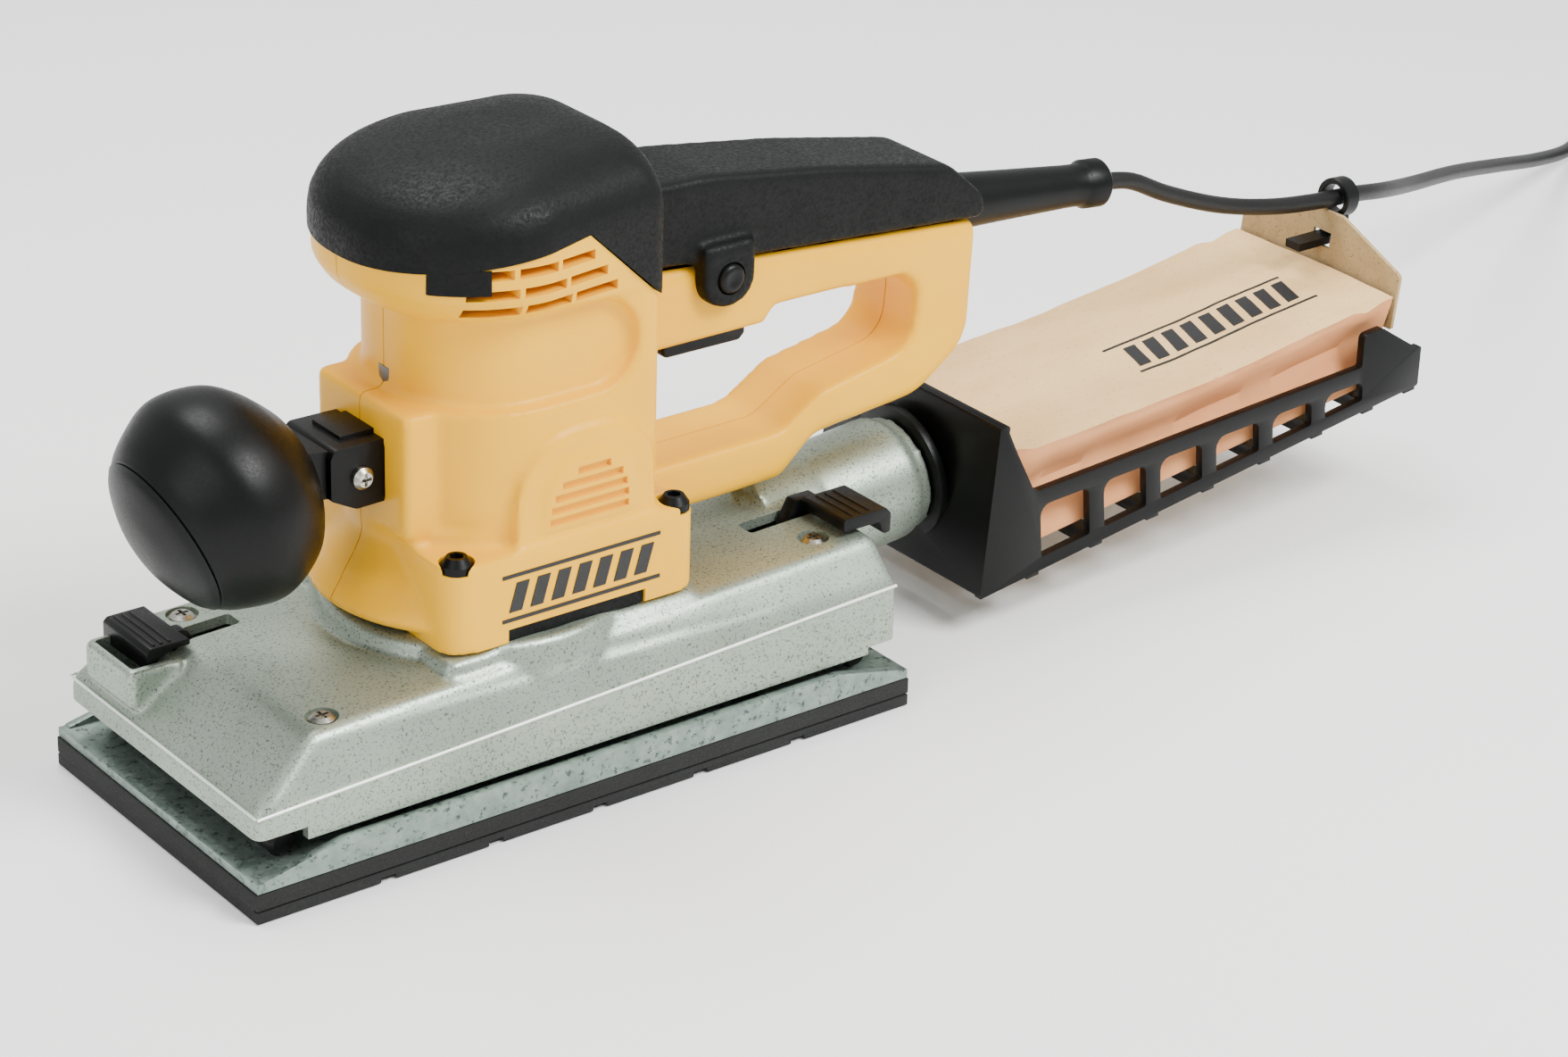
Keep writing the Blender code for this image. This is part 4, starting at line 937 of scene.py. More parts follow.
        mouth = lathe("pipe_mouth", ((0, 10), (16.6, 10), (16.6, -26), (0, -26)), BAG_ORIGIN, OUTLET_AIM, 48)
        for tool in (hollow, *cuts, bore, mouth):
            combine(shroud, [tool], Join.CUT)
        finish_piece(shroud, SILVER_PAINT, Body.MACHINE, "painted_casting", "shroud", angle=50)
        # Thin tubes along the parting line ridges, coloured near white as a painted highlight.
        lines = []
        for side in SIDES:
            path = [Vector((-114.2, side * 53.5, 30.6)), Vector((0, side * 53.25, 35.4)),
                    Vector((114.6, side * 52.75, 40.2))]
            lines.append(sweep("line", smooth_path(path, 12), 0.55, 8))
        front = [Vector((-114.5, -52.6, 30.8)), Vector((-114.5, 0, 30.8)), Vector((-114.5, 52.6, 30.8))]
        lines.append(sweep("line", front, 0.45, 8))
        finish_piece(merge("parting_line_highlight", lines), PARTING_LINE_HIGHLIGHT, Body.MACHINE, "painted_casting", angle=60)

    def build_screws(self) -> None:
        """Zinc-plated cross-recess screws in their round recesses."""
        tree = fastener_tree("pan_screws", Recess.CROSS, ZINC_STEEL)
        points = [(x, y, z - 1.5) for x, y, z in self.screws]
        piece = grow("shroud_screws", points, tree,
                     {"Radius": 3.9, "Height": 1.9, "Drive": 4.4, "Depth": 1.2})
        names = [f"shroud_screw_{end}_{side}" for end in ("front", "rear") for side in ("left", "right")]
        finish_piece(piece, ZINC_STEEL, Body.MACHINE, "steel", *names)

    def build(self) -> None:
        """Build the pieces of the base in order."""
        for make in (self.build_pad, self.build_platen, self.build_clamps, self.build_shroud,
                     self.build_screws):
            make()


# ---------------------------------------------------------------- housing
@dataclass
class Housing:
    """Yellow clamshell, black head cover and grip, trigger and lock button."""

    column: tuple[tuple[float, ...], ...] = (
        (0, -41.0, 34.5, 38.2, 38.2, 35.0, 4.5), (80.0, -41.0, 34.5, 38.2, 38.2, 35.0, 4.5),
        (124.0, -42.0, 34.5, 38.4, 38.2, 35.0, 4.5), (150.0, -42.0, 34.5, 38.4, 38.2, 35.0, 4.5),
        (153.0, -43.4, 34.6, 39.0, 38.2, 36.0, 4.5), (157.0, -49.0, 34.8, 42.6, 38.4, 40.0, 4.5),
        (162.0, -52.4, 35.0, 44.4, 38.6, 42.5, 4.5), (0, -52.8, 35.2, 44.8, 38.8, 43.0, 4.5))
    handle: Corners = ((20, 64, 0), (98, 66, 6), (111, 77.5, 10), (152, 81.5, 20), (172, 96, 16),
                       (173.5, 136.9, 0), (84, 143.4, 0), (20, 147.7, 0))
    opening: Corners = ((30, 120.5, 0), (89, 120.5, 1.5), (92.5, 125.5, 1.5), (150, 124.5, 9),
                        (148, 99, 11), (113, 92.5, 10), (97, 82.5, 10), (30, 82, 0))
    grip: Corners = ((35.6, 151, 0), (35.6, 173.6, 0), (66, 173, 40), (112, 166.5, 60), (160, 157.5, 14),
                     (175.5, 144, 8), (174.5, 137.2, 0), (84, 143.8, 0), (37, 148, 0))
    arch: Corners = ((-18.3, 76, 0), (-17.6, 115.4, 21), (29.5, 115.4, 19), (32, 76, 0))
    grille: tuple[tuple[float, float], ...] = ((-7.6, 20.2), (-7.2, 20.2), (-6.0, 19.6), (-3.4, 18.0),
                                               (2.0, 13.6))
    inner_arch: Corners = ((-9, 86.3, 1), (-9, 107.4, 13), (21.8, 107.4, 13), (21.8, 86.3, 1))

    def column_rings(self, inset: float, low: float, high: float) -> list[list[Vector]]:
        """Outlines of the motor column and head, moved inwards."""
        rows = []
        for i, (z, front, rear, hf, hr, rf, rr) in enumerate(self.column):
            height = low if i == 0 else high if i == len(self.column) - 1 else z
            rows.append(plan_ring(height, front, rear, hf, hr, rf, rr, inset))
        return rows

    def build_shell(self) -> None:
        """Yellow shell with its flange, skirt, waist, arch bosses, vents and handle."""
        shell = skin("yellow_shell", self.column_rings(0.0, 62.0, 178.0))
        flange = skin("flange", [plan_ring(z, -43, 45, 42.5, 42.5, 9, 5, 0.0) for z in (54.9, 83.0)])
        skirt = lathe("skirt", flowing(((0, 89), (34.0, 88.5), (36.6, 81), (39.5, 75), (44.4, 67),
                      (45.2, 58.6), (0, 58.6)), 3), (-8.7, 0, 0), steps=96)
        combine(skirt, [block("side", (-34, 42.45 * s - 10, 40), (60, 42.45 * s + 10, 100))
                        for s in (-1.2356, 1.2356)], Join.CUT)
        handle = chamfer(slab("handle", rounded(self.handle, 8), -16.2, 16.2), 4.6, 3, 60)
        finger = slab("finger", rounded(self.opening, 8), -30, 30)
        plate = chamfer(block("arm_plate", (-45.6, -24, 84.8), (-20, 24, 125)), 2.5, 3)
        arches = []
        for side in SIDES:
            for outline, out in ((self.arch, 40.6), (self.inner_arch, 41.9)):
                arches.append(slab("arch", rounded(outline, 8), *mirrored(30.0, out, side)))
        combine(shell, [flange, skirt, plate, *arches], Join.ADD)
        waist = slab("waist", rounded(((-90, 124.5, 0), (26, 124.5, 14), (26, 153, 14), (-90, 153, 0)), 8),
                     -60, 60)
        combine(waist, [skin("waist_core", self.column_rings(4.8, 60.0, 190.0))], Join.CUT)
        combine(shell, [waist], Join.CUT)
        combine(shell, [handle], Join.ADD)
        combine(shell, [finger], Join.CUT)
        soften(shell, 1.25, 5)
        core = skin("core", self.column_rings(7.0, 50.0, 190.0))
        cuts = [core,
                slab("pocket", [(20, 124.5), (96, 124.5), (99, 129), (168, 128), (168, 160), (20, 170)],
                     -13.4, 13.4),
                slab("lid", [(-80, 165.5), (5, 175.7), (33.2, 149.8), (36, 148.3), (36, 200), (-80, 200)],
                     -60, 60),
                slab("grip_cut", [(33, 148.1), (84, 143.5), (178, 136.7), (178, 200), (33, 200)], -40, 40),
                rod("flange_hollow", (MOTOR_X, 0, 50), (MOTOR_X, 0, 80), 37.0, 64),
                block("trigger_slot", (55.5, -8, 108), (89.5, 8, 130)),
                *self.handle_holes(),
                chamfer(block("socket", (-60, -13.2, 95.2), (-30, 13.2, 113.9)), 1.5),
                block("leg_gap", (-22.6, -60, 40), (26.2, 60, 59.4))]
        for row, (z, last) in enumerate(((169.6, 7.0), (163.6, 12.0), (157.8, 16.5))):
            width = (last + 33.5 - 3.0) / 3
            for k in range(3):
                x = -33.5 + k * (width + 1.5)
                cuts.append(block(f"vent_{row}_{k}", (x, -60, z - 1.5), (x + width, 60, z + 1.5)))
        cuts += [rod("plug_seat", (x, y, 80), (x, y, 88), 5.3, 32) for x, y in self.plug_points()]
        for side in SIDES:
            for k, (start, end) in enumerate(self.grille):
                low, high = mirrored(40.4, 44.0, side)
                z = 88.0 + 3.6 * k
                cuts.append(block("arch_slot", (start, low, z), (end, high, z + 2.3)))
        cuts.append(block("split", (-70, -0.22, 50), (200, 0.22, 190)))
        for tool in cuts:
            combine(shell, [tool], Join.CUT)
        finish_piece(shell, YELLOW_NYLON, Body.MACHINE, "yellow_housing", "left_housing", "right_housing",
                     angle=42)

    @staticmethod
    def handle_holes() -> list[Object]:
        """Cutters for the cable sleeve and the lock button."""
        return [rod("relief_hole", (155, 0, 139.1), (195, 0, 135.5), 9.6, 40),
                rod("button_hole", (71.5, -30, 141), (71.5, -8, 141), 5.2, 32)]

    def plug_points(self) -> list[tuple[float, float]]:
        """Places of the four flange bolts."""
        return [(x, y * s) for x, y in ((-36.8, 36.8), (39.8, 37.4)) for s in SIDES]

    def build_plugs(self) -> None:
        """Black domed bolt heads with hex drives, the seal under the flange, and a black block that paints
        the shadow in the gap under the flange.
        """
        tree = fastener_tree("flange_plugs", Recess.HEX, KNOB_ELASTOMER)
        piece = grow("flange_bolts", [(x, y, 80.2) for x, y in self.plug_points()], tree,
                     {"Radius": 4.7, "Height": 4.6, "Drive": 2.2, "Depth": 1.4})
        names = [f"flange_plug_{end}_{side}" for end in ("front", "rear") for side in ("left", "right")]
        finish_piece(piece, KNOB_ELASTOMER, Body.MACHINE, "black_rubber", *names)
        seal = lathe("shadow_seal", ((37.5, 59.6), (41.6, 59.6), (42.2, 59.0), (42.2, 55.6), (41.6, 55.3),
                     (37.5, 55.3)), (MOTOR_X - 2, 0, 0), steps=96)
        # A black block across the gap under the flange, standing in for the shadow there.
        painted_shadow_band = block("painted_shadow_band", (-22.4, -41.6, 55.0), (26.0, 41.6, 59.7))
        combine(painted_shadow_band, [rod("band_hole", (MOTOR_X, 0, 50), (MOTOR_X, 0, 64), 37.5, 64)], Join.CUT)
        finish_piece(merge("seal_and_painted_shadow_band", [seal, painted_shadow_band]), BLACK_ELASTOMER, Body.MACHINE, "black_rubber",
                     "base_seal")

    @staticmethod
    def tilted_ring(z: float, *row: float) -> list[Vector]:
        """Outline of the cover, which rises a little to the rear above its edge."""
        return plan_ring(z, *row, tilt=COVER_TILT if z > COVER_EDGE else 0.0)

    def build_cover(self) -> None:
        """Black head cover, a low dome with tabs over the rear corners."""
        rows = ((149.0, -53.4, 35.4, 45.2, 39.2, 43.0, 5.0), (176.0, -53.4, 35.4, 45.2, 39.2, 43.0, 5.0),
                (180.6, -52.6, 35.4, 44.6, 38.8, 42.4, 6.0), (184.5, -50.5, 35.2, 43.2, 37.4, 41.0, 8.0),
                (187.6, -47.6, 34.9, 41.0, 35.6, 39.0, 10.0), (190.0, -44.0, 34.5, 38.0, 33.0, 36.0, 12.0),
                (192.3, -39.0, 33.2, 33.9, 29.8, 32.4, 14.0), (194.0, -33.0, 31.0, 29.0, 26.0, 28.0, 16.0),
                (195.4, -25.5, 26.8, 22.8, 20.4, 21.8, 14.5), (196.4, -17.0, 21.0, 15.5, 14.0, 14.5, 12.0))
        cover = skin("head_shell", [self.tilted_ring(*row) for row in rows])
        soften(cover, 1.4, 3)
        inner = [(140.0, -50.6, 32.8, 42.4, 36.4, 40.0, 3.0), (176.0, -50.6, 32.8, 42.4, 36.4, 40.0, 3.0),
                 (183.5, -47.5, 32.6, 40.0, 34.6, 38.0, 6.0), (188.4, -40.5, 31.5, 34.5, 30.0, 32.5, 10.0),
                 (191.6, -28.0, 27.0, 24.5, 22.0, 23.5, 14.0)]
        hollow = skin("cover_hollow", [self.tilted_ring(*row) for row in inner])
        tool = slab("cover_edge", [(-80, 130), (-80, 165.8), (5, 176.1), (33.6, 150.2), (36.4, 148.7),
                                   (60, 148.7), (60, 130)], -60, 60)
        for part in (hollow, tool, block("throat", (28, -13.5, 145), (40, 13.5, 168))):
            combine(cover, [part], Join.CUT)
        tabs = []
        for side in SIDES:
            ring = skin("tab", [plan_ring(z, -53.0, 35.0, 44.9, 38.9, 43.0, 5.0) for z in (164.0, 171.5)])
            core = [plan_ring(z, -50.8, 33, 42.6, 36.4, 41.0, 3.0) for z in (160.0, 176.0)]
            combine(ring, [skin("tab_core", core)], Join.CUT)
            low, high = mirrored(28.0, 60.0, side)
            tabs.append(combine(ring, [block("keep", (-42.0, low, 150), (-27.5, high, 190))], Join.KEEP))
        finish_piece(merge("head_cover_shell", [cover, *tabs]), BLACK_ELASTOMER, Body.MACHINE, "black_rubber",
                     "head_cover", angle=40)

    def build_grip(self) -> None:
        """Soft upper shell of the handle with the lock button's lobe."""
        grip = chamfer(slab("soft_grip", rounded(self.grip, 10), -17.2, 17.2), 7.0, 4, 60)
        lobe = rounded(((61.8, 152, 0), (61.8, 131.6, 9), (81.2, 131.6, 9), (81.2, 152, 0)), 8)
        lobe = chamfer(slab("lobe", lobe, -21.5, -8.0), 1.8, 3, 60)
        combine(grip, [lobe], Join.ADD)
        soften(grip, 1.2, 4)
        tools = [slab("clear", [(20, 148.4), (20, 120), (180, 120), (180, 136.7), (84, 143.75)], -16.4, 30),
                 slab("hollow", [(30, 130), (168, 130), (168, 148), (152, 153.5), (110, 162.5), (66, 169),
                                 (30, 170)], -13.6, 13.6),
                 *self.handle_holes()]
        for tool in tools:
            combine(grip, [tool], Join.CUT)
        finish_piece(grip, BLACK_ELASTOMER, Body.MACHINE, "black_rubber", "handle_grip", angle=42)

    def build_controls(self) -> None:
        """Trigger blade and lock button."""
        trigger = slab("trigger_blade", rounded(((57, 113.2, 2.2), (86, 113, 2.2), (88, 115, 1), (88, 124, 0),
                       (57, 124, 0)), 5), -7.6, 7.6)
        finish_piece(chamfer(trigger, 1.0, 3), BLACK_NYLON, Body.TRIGGER, "black_plastic", "trigger")
        button = lathe("lock_pin", ((0, -0.9), (1.6, -0.8), (2.6, -0.35), (3.4, -0.4), (4.2, -0.8),
                       (4.7, -1.6), (4.7, -13.5), (0, -13.5)), (71.5, -23.2, 141), (0, -1, 0), 40)
        finish_piece(button, BLACK_NYLON, Body.LOCK_BUTTON, "black_plastic", "lock_button")

    def build_marks(self) -> None:
        """Plain slanted hash bars where a printed mark would be."""
        tree = bar_tree("hash_bars", BLACK_INK)
        lean = Matrix.Identity(4)
        lean[0][2] = 0.30
        flange = Matrix.Translation((3.2, -42.55, 69.5)) @ lean
        bars = grow("bars", [(7.4 * k, 0, 0) for k in (-3, -2, -1, 0, 1, 2, 3)], tree,
                    {"Length": 4.4, "Width": 0.5, "Height": 9.0}, flange)
        lines = grow("lines", [(0, 0, -7.0), (0, 0, 7.0)], tree,
                     {"Length": 56.0, "Width": 0.5, "Height": 1.1}, Matrix.Translation((3.2, -42.55, 69.5)))
        finish_piece(merge("flange_hash", [bars, lines]), BLACK_INK, Body.MACHINE, "yellow_housing")

    def build(self) -> None:
        """Build the pieces of the housing in order."""
        for make in (self.build_shell, self.build_plugs, self.build_cover, self.build_grip,
                     self.build_controls, self.build_marks):
            make()


@dataclass
class FrontKnob:
    """Round auxiliary knob on its clamped arm."""

    centre: tuple[float, float, float] = (-93.6, 0.0, 103.0)
    aim: tuple[float, float, float] = (-0.921, 0.0, -0.389)
    profile: tuple[tuple[float, float], ...] = (
        (25.4, 17.6), (28.2, 14.0), (31.0, 8.6), (33.3, 2.6), (33.6, -2.6), (32.0, -9.0), (28.6, -15.6),
        (23.0, -20.8), (17.0, -24.4), (13.0, -26.4))

    def build(self) -> None:
        """Make the arm, its screw, the knob and its end cap."""
        aim = Vector(self.aim).normalized()
        knob = lathe("round_knob", [(0, 18.0), (24.8, 18.0), *flowing(self.profile, 8), (0, -26.4)],
                     self.centre, aim, 112)
        combine(knob, [block("socket", (-79.4, -13.2, 97.9), (-50, 13.2, 117.7))], Join.CUT)
        finish_piece(knob, KNOB_ELASTOMER, Body.MACHINE, "black_rubber", "knob", angle=40)
        dome = flowing(((0, 26.4), (6, 26.1), (12, 25.0), (18, 22.8), (22.4, 20.6), (25.1, 18.4)), 8)
        cap = lathe("knob_end", [*dome, (24.7, 18.0), (0, 18.0)], self.centre, aim, 112)
        finish_piece(cap, KNOB_ELASTOMER, Body.MACHINE, "black_rubber", "knob_cap", angle=40)
        arm = slab("knob_arm", rounded(((-39.5, 95.4, 0), (-39.5, 114.6, 0), (-52, 114.9, 2), (-62, 115.0, 2),
                   (-63.4, 112, 1), (-63.4, 99.4, 1), (-55, 95.0, 3)), 4), -12.8, 12.8)
        neck = slab("neck", rounded(((-60, 98.4, 0), (-60, 113.6, 0), (-79, 116.0, 0), (-79, 103.4, 0),
                    (-68, 100.0, 2)), 4), -10.0, 10.0)
        raised = block("raised", (-57, -7.5, 113), (-45, 7.5, 116.2))
        combine(arm, [neck, raised], Join.ADD)
        finish_piece(chamfer(arm, 1.2, 3), BLACK_NYLON, Body.MACHINE, "black_plastic", "front_handle_arm")
        tree = fastener_tree("arm_screw", Recess.CROSS, ZINC_STEEL)
        turn = Matrix.Translation((-53.3, -12.9, 104.6)) @ Matrix.Rotation(radians(90), 4, "X")
        bolt = grow("arm_screw_head", [(0, 0, 0)], tree, {"Radius": 3.4, "Height": 2.4, "Drive": 4.0,
                    "Depth": 1.3}, turn)
        finish_piece(bolt, ZINC_STEEL, Body.MACHINE, "steel", "arm_bolt")


# ---------------------------------------------------------------- dust bag
@dataclass
class DustBag:
    """Black open carrier, cardboard collar and the paper bag it holds."""

    half: float = 43.0
    posts: tuple[float, ...] = (52.5, 77.3, 102.3, 128.1, 152.5, 176.5)
    length: tuple[float, float] = (19.0, 189.0)

    @staticmethod
    def on_line(line: tuple[tuple[float, float], tuple[float, float]], along: float) -> float:
        """Height of a straight line at a distance along the carrier."""
        (s0, h0), (s1, h1) = line
        return h0 + (h1 - h0) * (along - s0) / (s1 - s0)

    def build_carrier(self) -> None:
        """Ladder-sided carrier moulded in black nylon."""
        top, bottom = ((26.4, 0.8), (173.0, -4.7)), ((2.2, -29.5), (200.0, -20.7))
        half = self.half
        front = rounded(((2.2, -29.4, 1), (6.2, -29.4, 0), (17, 28.5, 1), (13, 28.5, 1)), 3)
        panel = slab("bag_carrier", front, -half, half, BAG_TURN)
        side = rounded(((2.5, -29.5, 0), (200, -20.7, 1), (201.5, -6, 1), (199, -6, 1), (182.7, 6.8, 2),
                        (174, 6.8, 2), (173, -4.7, 1), (26.4, 0.8, 4), (19.4, 17.9, 3), (15.5, 28.4, 0),
                        (13.4, 28.4, 0)), 4)
        spans = [mirrored(half, half - 3, s) for s in SIDES]
        adds = [slab("side", side, low - 0.001, high, BAG_TURN) for low, high in spans]
        combine(panel, adds, Join.ADD)
        starts = [28.5] + [post + 3.2 for post in self.posts]
        ends = [post - 3.2 for post in self.posts]
        cuts = []
        for s0, s1 in zip(starts, ends):
            cuts.append(slab("window", rounded(((s0, self.on_line(bottom, s0) + 4.6, 0.8),
                        (s1, self.on_line(bottom, s1) + 4.6, 0.8), (s1, self.on_line(top, s1) - 5.6, 2.4),
                        (s0, self.on_line(top, s0) - 5.6, 4.0)), 4), -60, 60, BAG_TURN))
        combine(panel, cuts, Join.CUT)
        bars = []
        for post in (25.0, *self.posts, 196.5):
            low = self.on_line(bottom, post) - 1.4
            bars.append(slab("cross", [(post - 2.6, low), (post + 2.6, low), (post + 2.6, low + 5),
                                       (post - 2.6, low + 5)], 0.5 - half, half - 0.5, BAG_TURN))
        bars.append(slab("rear", [(197.2, -20.4), (200.2, -20.4), (200.2, -6.6), (197.2, -6.6)], 0.4 - half,
                         half - 0.4, BAG_TURN))
        spigot = lathe("spigot", ((22.5, 7.0), (22.5, 4.3), (17.1, 4.3), (17.1, -14), (14.8, -14),
                       (14.8, 7.0)), BAG_ORIGIN, OUTLET_AIM, 56)
        combine(panel, [*bars, spigot], Join.ADD)
        throat = ((0, 40), (14.2, 40), (14.2, -2), (0, -2))
        combine(panel, [lathe("throat", throat, BAG_ORIGIN, OUTLET_AIM, 48)], Join.CUT)
        finish_piece(chamfer(panel, 0.5, 2), BLACK_NYLON, Body.DUST_BAG, "black_plastic", "bag_frame")

    def section(self, s: float, share: float) -> list[Vector]:
        """One cross-section of the paper bag.

        Args:
            s: Distance along the bag.
            share: The same as a share of its length.

        Returns:
            Points round the section, in the carrier's axes.
        """
        low = -21.0 + 5.4 * share
        crease = -1.6 * max(0.0, 1 - abs(share - 0.93) / 0.04)
        edge = 13.2 + 1.0 * share - 2.2 * sin(pi * min(1.0, share * 1.02)) ** 2 + crease
        crown = 1.6 * sin(pi * min(1.0, share)) + 0.4
        points = []
        count = 28
        for k in range(count + 1):
            t = k / count
            y = -38.6 + 77.2 * t
            lift = crown * sin(pi * t) ** 0.7
            ripple = 0.55 * noise.noise(Vector((s / 26, y / 34, 1.7))) + 0.25 * noise.noise(
                Vector((s / 9, y / 11, 4.1)))
            points.append(Vector((s, y, edge + lift + ripple)))
        fold = [(0.03, 0.5), (0.08, 0.6), (0.2, 2.6), (0.35, 5.4), (0.5, 7.6), (0.65, 5.6), (0.8, 3.2),
                (0.94, 1.0)]
        ends = min(1.0, share / 0.12) * min(1.0, (1 - share) / 0.08)
        for side in (1, -1):
            column = []
            for drop, depth in fold:
                h = edge - (edge - low) * drop
                wave = 0.8 * noise.noise(Vector((s / 17, side * 3.0, h / 9)))
                column.append(Vector((s, side * (38.4 - depth * (0.35 + 0.65 * ends) + wave * ends), h)))
            if side == 1:
                points += column
                points += [Vector((s, 37.6 - 75.2 * k / 12, low)) for k in range(13)]
            else:
                points += column[::-1]
        return points

    def build_bag(self) -> None:
        """Kraft bag: a sagging top sheet over gussets folded inwards."""
        start, end = self.length
        stations = 96
        rings = []
        for k in range(stations + 1):
            share = k / stations
            ring = self.section(start + (end - start) * share, share)
            for point in ring:
                point.x += 0.22 * (point.z - 2.0) * (0.6 + 0.4 * share)
                if share < 0.06:
                    point.z += (0.06 - share) / 0.06 * 3.6 * (1 if point.z > 5 else 0)
            rings.append(ring)
        bag = skin("kraft_bag", rings, BAG_TURN)
        bag = finish_piece(bag, KRAFT_PAPER, Body.DUST_BAG, "paper", "paper_bag", angle=48)
        # Faces that point sideways take the darker paper as painted shade.
        bag.data.materials.append(SIDE_SHADE_PAPER.build())
        for face in bag.data.polygons:
            face.material_index = int(abs(face.normal.y) > 0.5)

    def build_mark(self) -> None:
        """Plain slanted hash bars on the bag's top sheet."""
        tree = bar_tree("bag_bars", BLACK_INK)
        lean = Matrix.Identity(4)
        lean[0][1] = 0.30
        place = Matrix.Translation((0, -11.0, 0)) @ lean
        bars = grow("bars", [(131 + 8.4 * k, 0, 0) for k in range(-4, 5)], tree,
                    {"Length": 5.0, "Width": 13.0, "Height": 0.3}, place)
        lines = grow("lines", [(130.5, -20.5, 0), (130.5, -1.5, 0)], tree,
                     {"Length": 80.0, "Width": 0.9, "Height": 0.3})
        marks = merge("bag_hash", [bars, lines])
        for _ in range(2):
            modify(marks, "SUBSURF", subdivision_type="SIMPLE", levels=2, render_levels=2)
        span = self.length[1] - self.length[0]
        for vert in marks.data.vertices:
            s, y = vert.co.x / MM, vert.co.y / MM
            share = (s - self.length[0]) / span
            top = self.section(s, share)
            k = (y + 38.6) / 77.2 * 28
            near = top[int(k)].lerp(top[int(k) + 1], k - int(k))
            vert.co.z += (near.z + 0.1) * MM
            vert.co.x += 0.22 * (near.z - 2.0) * (0.6 + 0.4 * share) * MM
        turn = BAG_TURN.copy()
        turn.translation = turn.translation * MM
        marks.data.transform(turn)
        finish_piece(marks, BLACK_INK, Body.DUST_BAG, "paper")

    def build_boards(self) -> None:
        """Double cardboard collar in front, grey-brown flap behind, and the lead's clip."""
        def collar_layer(shift: float, corner: float) -> Object:
            """One card of the collar, with its near top corner clipped."""
            outline = ((-38.8, -22), (38.8, -22), (38.8, 24.5), (corner - 38.8, 24.5),
                       (-38.8, 24.5 - corner))
            points = [(8.1 + shift + 0.185 * (h + 22), y, h) for y, h in outline]
            return drawn("collar", points, (0.7, 0, 0), BAG_TURN)
        layers = [collar_layer(0.0, 5.0), collar_layer(0.95, 2.0)]
        hole = ((0, 40), (14, 40), (14, -20), (0, -20))
        for layer in layers:
            combine(layer, [lathe("hole", hole, BAG_ORIGIN, OUTLET_AIM, 40)], Join.CUT)
        finish_piece(merge("card_collar", layers), GREYBOARD, Body.DUST_BAG, "cardboard", "bag_collar")
        outline = rounded(((-38.5, 2, 0.5), (38.5, 2, 0.5), (38.5, 20.5, 2), (8, 32.1, 4), (-8, 32.1, 4),
                           (-38.5, 20.5, 2)), 4)
        flap = drawn("rear_flap", [(190.6 + 0.22 * (h - 2), y, h) for y, h in outline], (1.3, 0, 0), BAG_TURN)
        combine(flap, [block("slit", (335, 3.8, 82), (356, 12.2, 87.4))], Join.CUT)
        finish_piece(flap, GREYBOARD, Body.DUST_BAG, "cardboard", "bag_flap")
        clip = lathe("lead_clip", ((6.6, 3.2), (7.0, 2.8), (7.0, -2.8), (6.6, -3.2), (5.1, -3.2), (4.9, -2.8),
                     (4.9, 2.8), (5.1, 3.2)), (359.0, 8.5, 98.1), (1.0, 0.09, -0.09), 48)
        stem = slab("stem", [(361, 92.2), (361, 83.4), (338, 83.4), (338, 86.2), (354.2, 86.2),
                             (356.4, 92.2)], 4.6, 11.4)
        combine(clip, [stem], Join.ADD)
        finish_piece(clip, BLACK_NYLON, Body.DUST_BAG, "black_plastic", "cord_clip")

    def build(self) -> None:
        """Build the pieces of the dust bag in order."""
        self.build_carrier()
        self.build_bag()
        self.build_mark()
        self.build_boards()


# ---------------------------------------------------------------- inside
INNER_FINISHES: dict[str, Finish] = {
    "motor_shaft": ZINC_STEEL, "eccentric_hub": ZINC_STEEL, "cooling_fan": BLACK_NYLON,
    "armature_core": CORE_STEEL, "commutator": COPPER_WIRE, "pad_bearing": ZINC_STEEL,
    "lower_bearing": ZINC_STEEL, "upper_bearing": ZINC_STEEL, "motor_bracket": RAW_CASTING,
    "stator": CORE_STEEL, "lower_field_winding": COPPER_WIRE, "upper_field_winding": COPPER_WIRE,
    "carbon_brush_left": CARBON, "carbon_brush_right": CARBON, "switch_body": BLACK_NYLON,
    "suppressor": BLACK_NYLON, "cord_clamp": BLACK_NYLON, "isolator_front_left": KNOB_ELASTOMER,
    "isolator_front_right": KNOB_ELASTOMER, "isolator_rear_left": KNOB_ELASTOMER,
    "isolator_rear_right": KNOB_ELASTOMER}


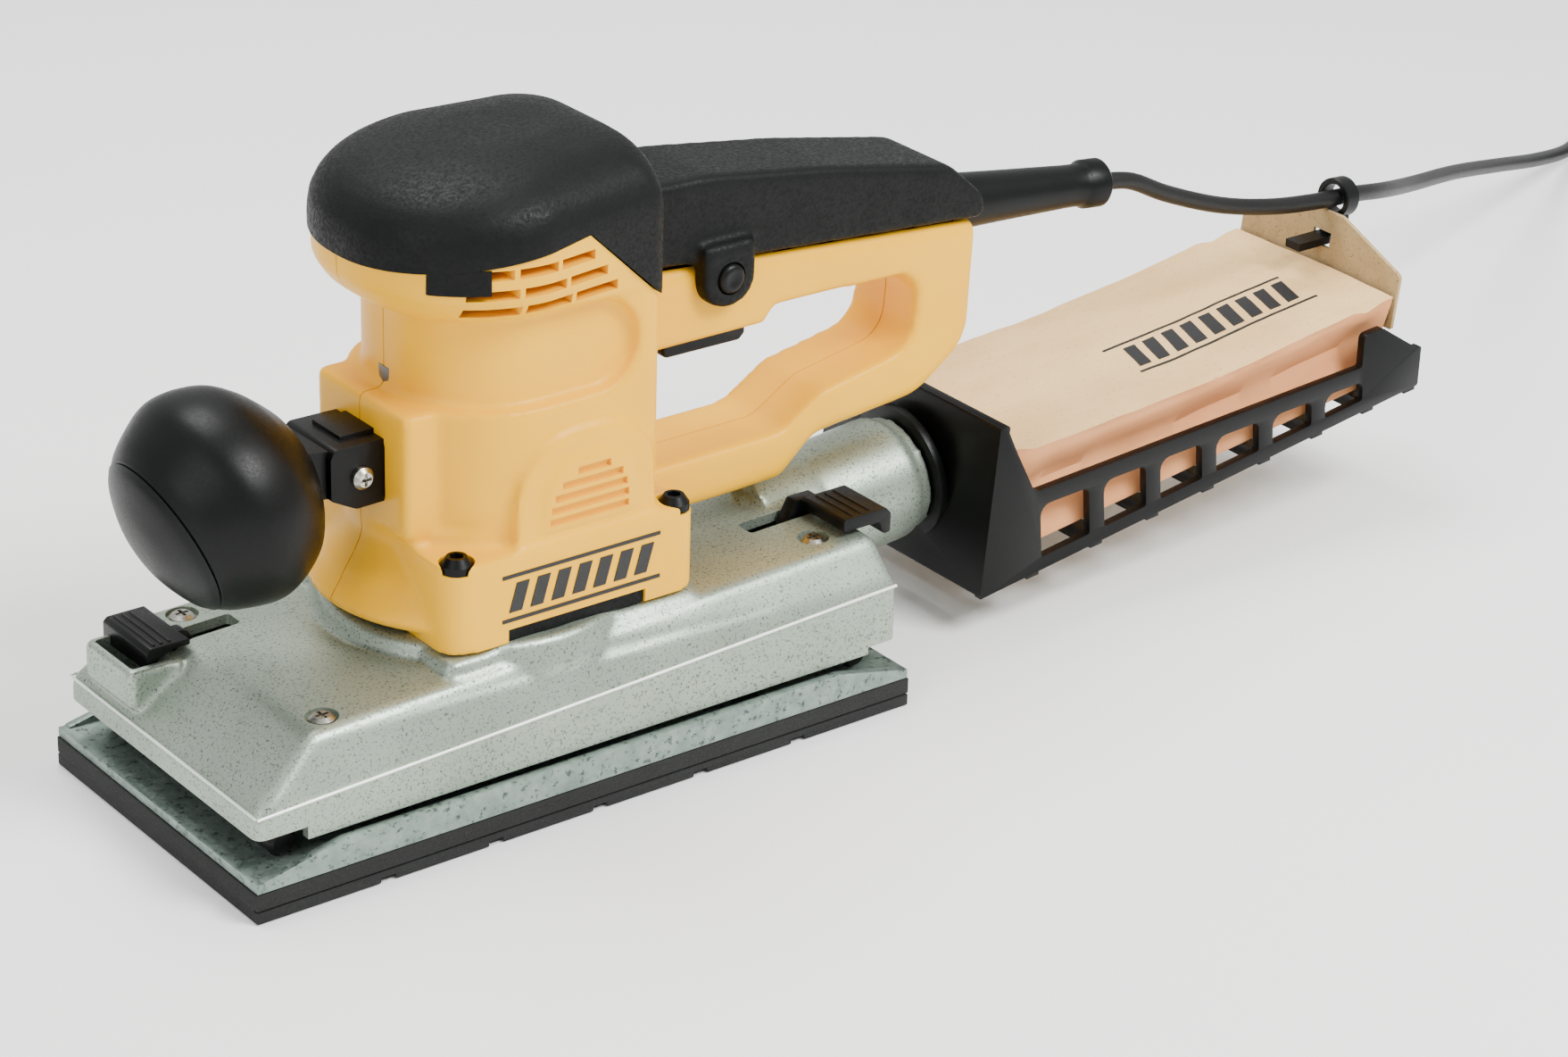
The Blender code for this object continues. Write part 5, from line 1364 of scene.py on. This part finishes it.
# ---------------------------------------------------------------- studio
@dataclass
class Studio:
    """Camera, soft lights and a pale floor."""

    place: tuple[float, float, float] = (-617.0, -916.0, 592.0)
    yaw: float = 38.50
    pitch: float = 25.26
    roll: float = 1.91
    lens: float = 93.64

    def build_camera(self) -> None:
        """Camera at the object's three-quarter front view."""
        yaw, pitch, roll = (radians(a) for a in (self.yaw, self.pitch, self.roll))
        view = Vector((sin(yaw) * cos(pitch), cos(yaw) * cos(pitch), -sin(pitch)))
        right = Vector((cos(yaw), -sin(yaw), 0))
        up = right.cross(view)
        across, above = cos(roll) * right + sin(roll) * up, cos(roll) * up - sin(roll) * right
        data = bpy.data.cameras.new("studio_camera")
        data.lens, data.sensor_width, data.sensor_fit = self.lens, 36.0, "HORIZONTAL"
        data.clip_start, data.clip_end = 0.05, 30.0
        camera = bpy.data.objects.new("studio_camera", data)
        bpy.context.scene.collection.objects.link(camera)
        turn = Matrix((across, above, -view)).transposed().to_4x4()
        camera.matrix_world = Matrix.Translation(Vector(self.place) * MM) @ turn
        bpy.context.scene.camera = camera

    def build_light(self) -> None:
        """Bright even surroundings, a soft key from the right and a fill from the left."""
        world = bpy.data.worlds.new("studio_world")
        bpy.context.scene.world = world
        world.use_nodes = True
        sky = world.node_tree.nodes["Background"]
        sky.inputs["Color"].default_value = linear("#FFFFFF")
        sky.inputs["Strength"].default_value = 0.92
        lamps = (("key", (500, -900, 1200), 34.0, 600), ("fill", (-1300, -500, 800), 8.0, 900),
                 ("top", (0, 500, 1400), 18.0, 700))
        for name, spot, power, size in lamps:
            data = bpy.data.lights.new(name, "AREA")
            data.energy, data.size = power, size * MM
            lamp = bpy.data.objects.new(name, data)
            bpy.context.scene.collection.objects.link(lamp)
            target = Vector((60, 0, 80))
            turn = (target - Vector(spot)).to_track_quat("-Z", "Y").to_matrix().to_4x4()
            lamp.matrix_world = Matrix.Translation(Vector(spot) * MM) @ turn

    def build_floor(self) -> None:
        """Pale floor just under the pad."""
        bm = bmesh.new()
        bmesh.ops.create_grid(bm, x_segments=2, y_segments=2, size=9000)
        bmesh.ops.translate(bm, vec=(0, 0, -0.3), verts=bm.verts)
        floor = to_object("studio_floor", bm)
        floor.data.materials.append(STAGE_PAPER.build())


def main() -> None:
    """Build the studio and every sub-assembly in order."""
    logging.basicConfig(level=logging.INFO, format="%(message)s")
    studio = Studio()
    studio.build_camera()
    for part in (Lead(), Base(), Housing(), FrontKnob(), DustBag()):
        part.build()
        LOG.info("built %s", type(part).__name__)
    for node, finish in INNER_FINISHES.items():
        dress_node(node, finish)
    studio.build_light()
    studio.build_floor()


if __name__ == "__main__":
    main()
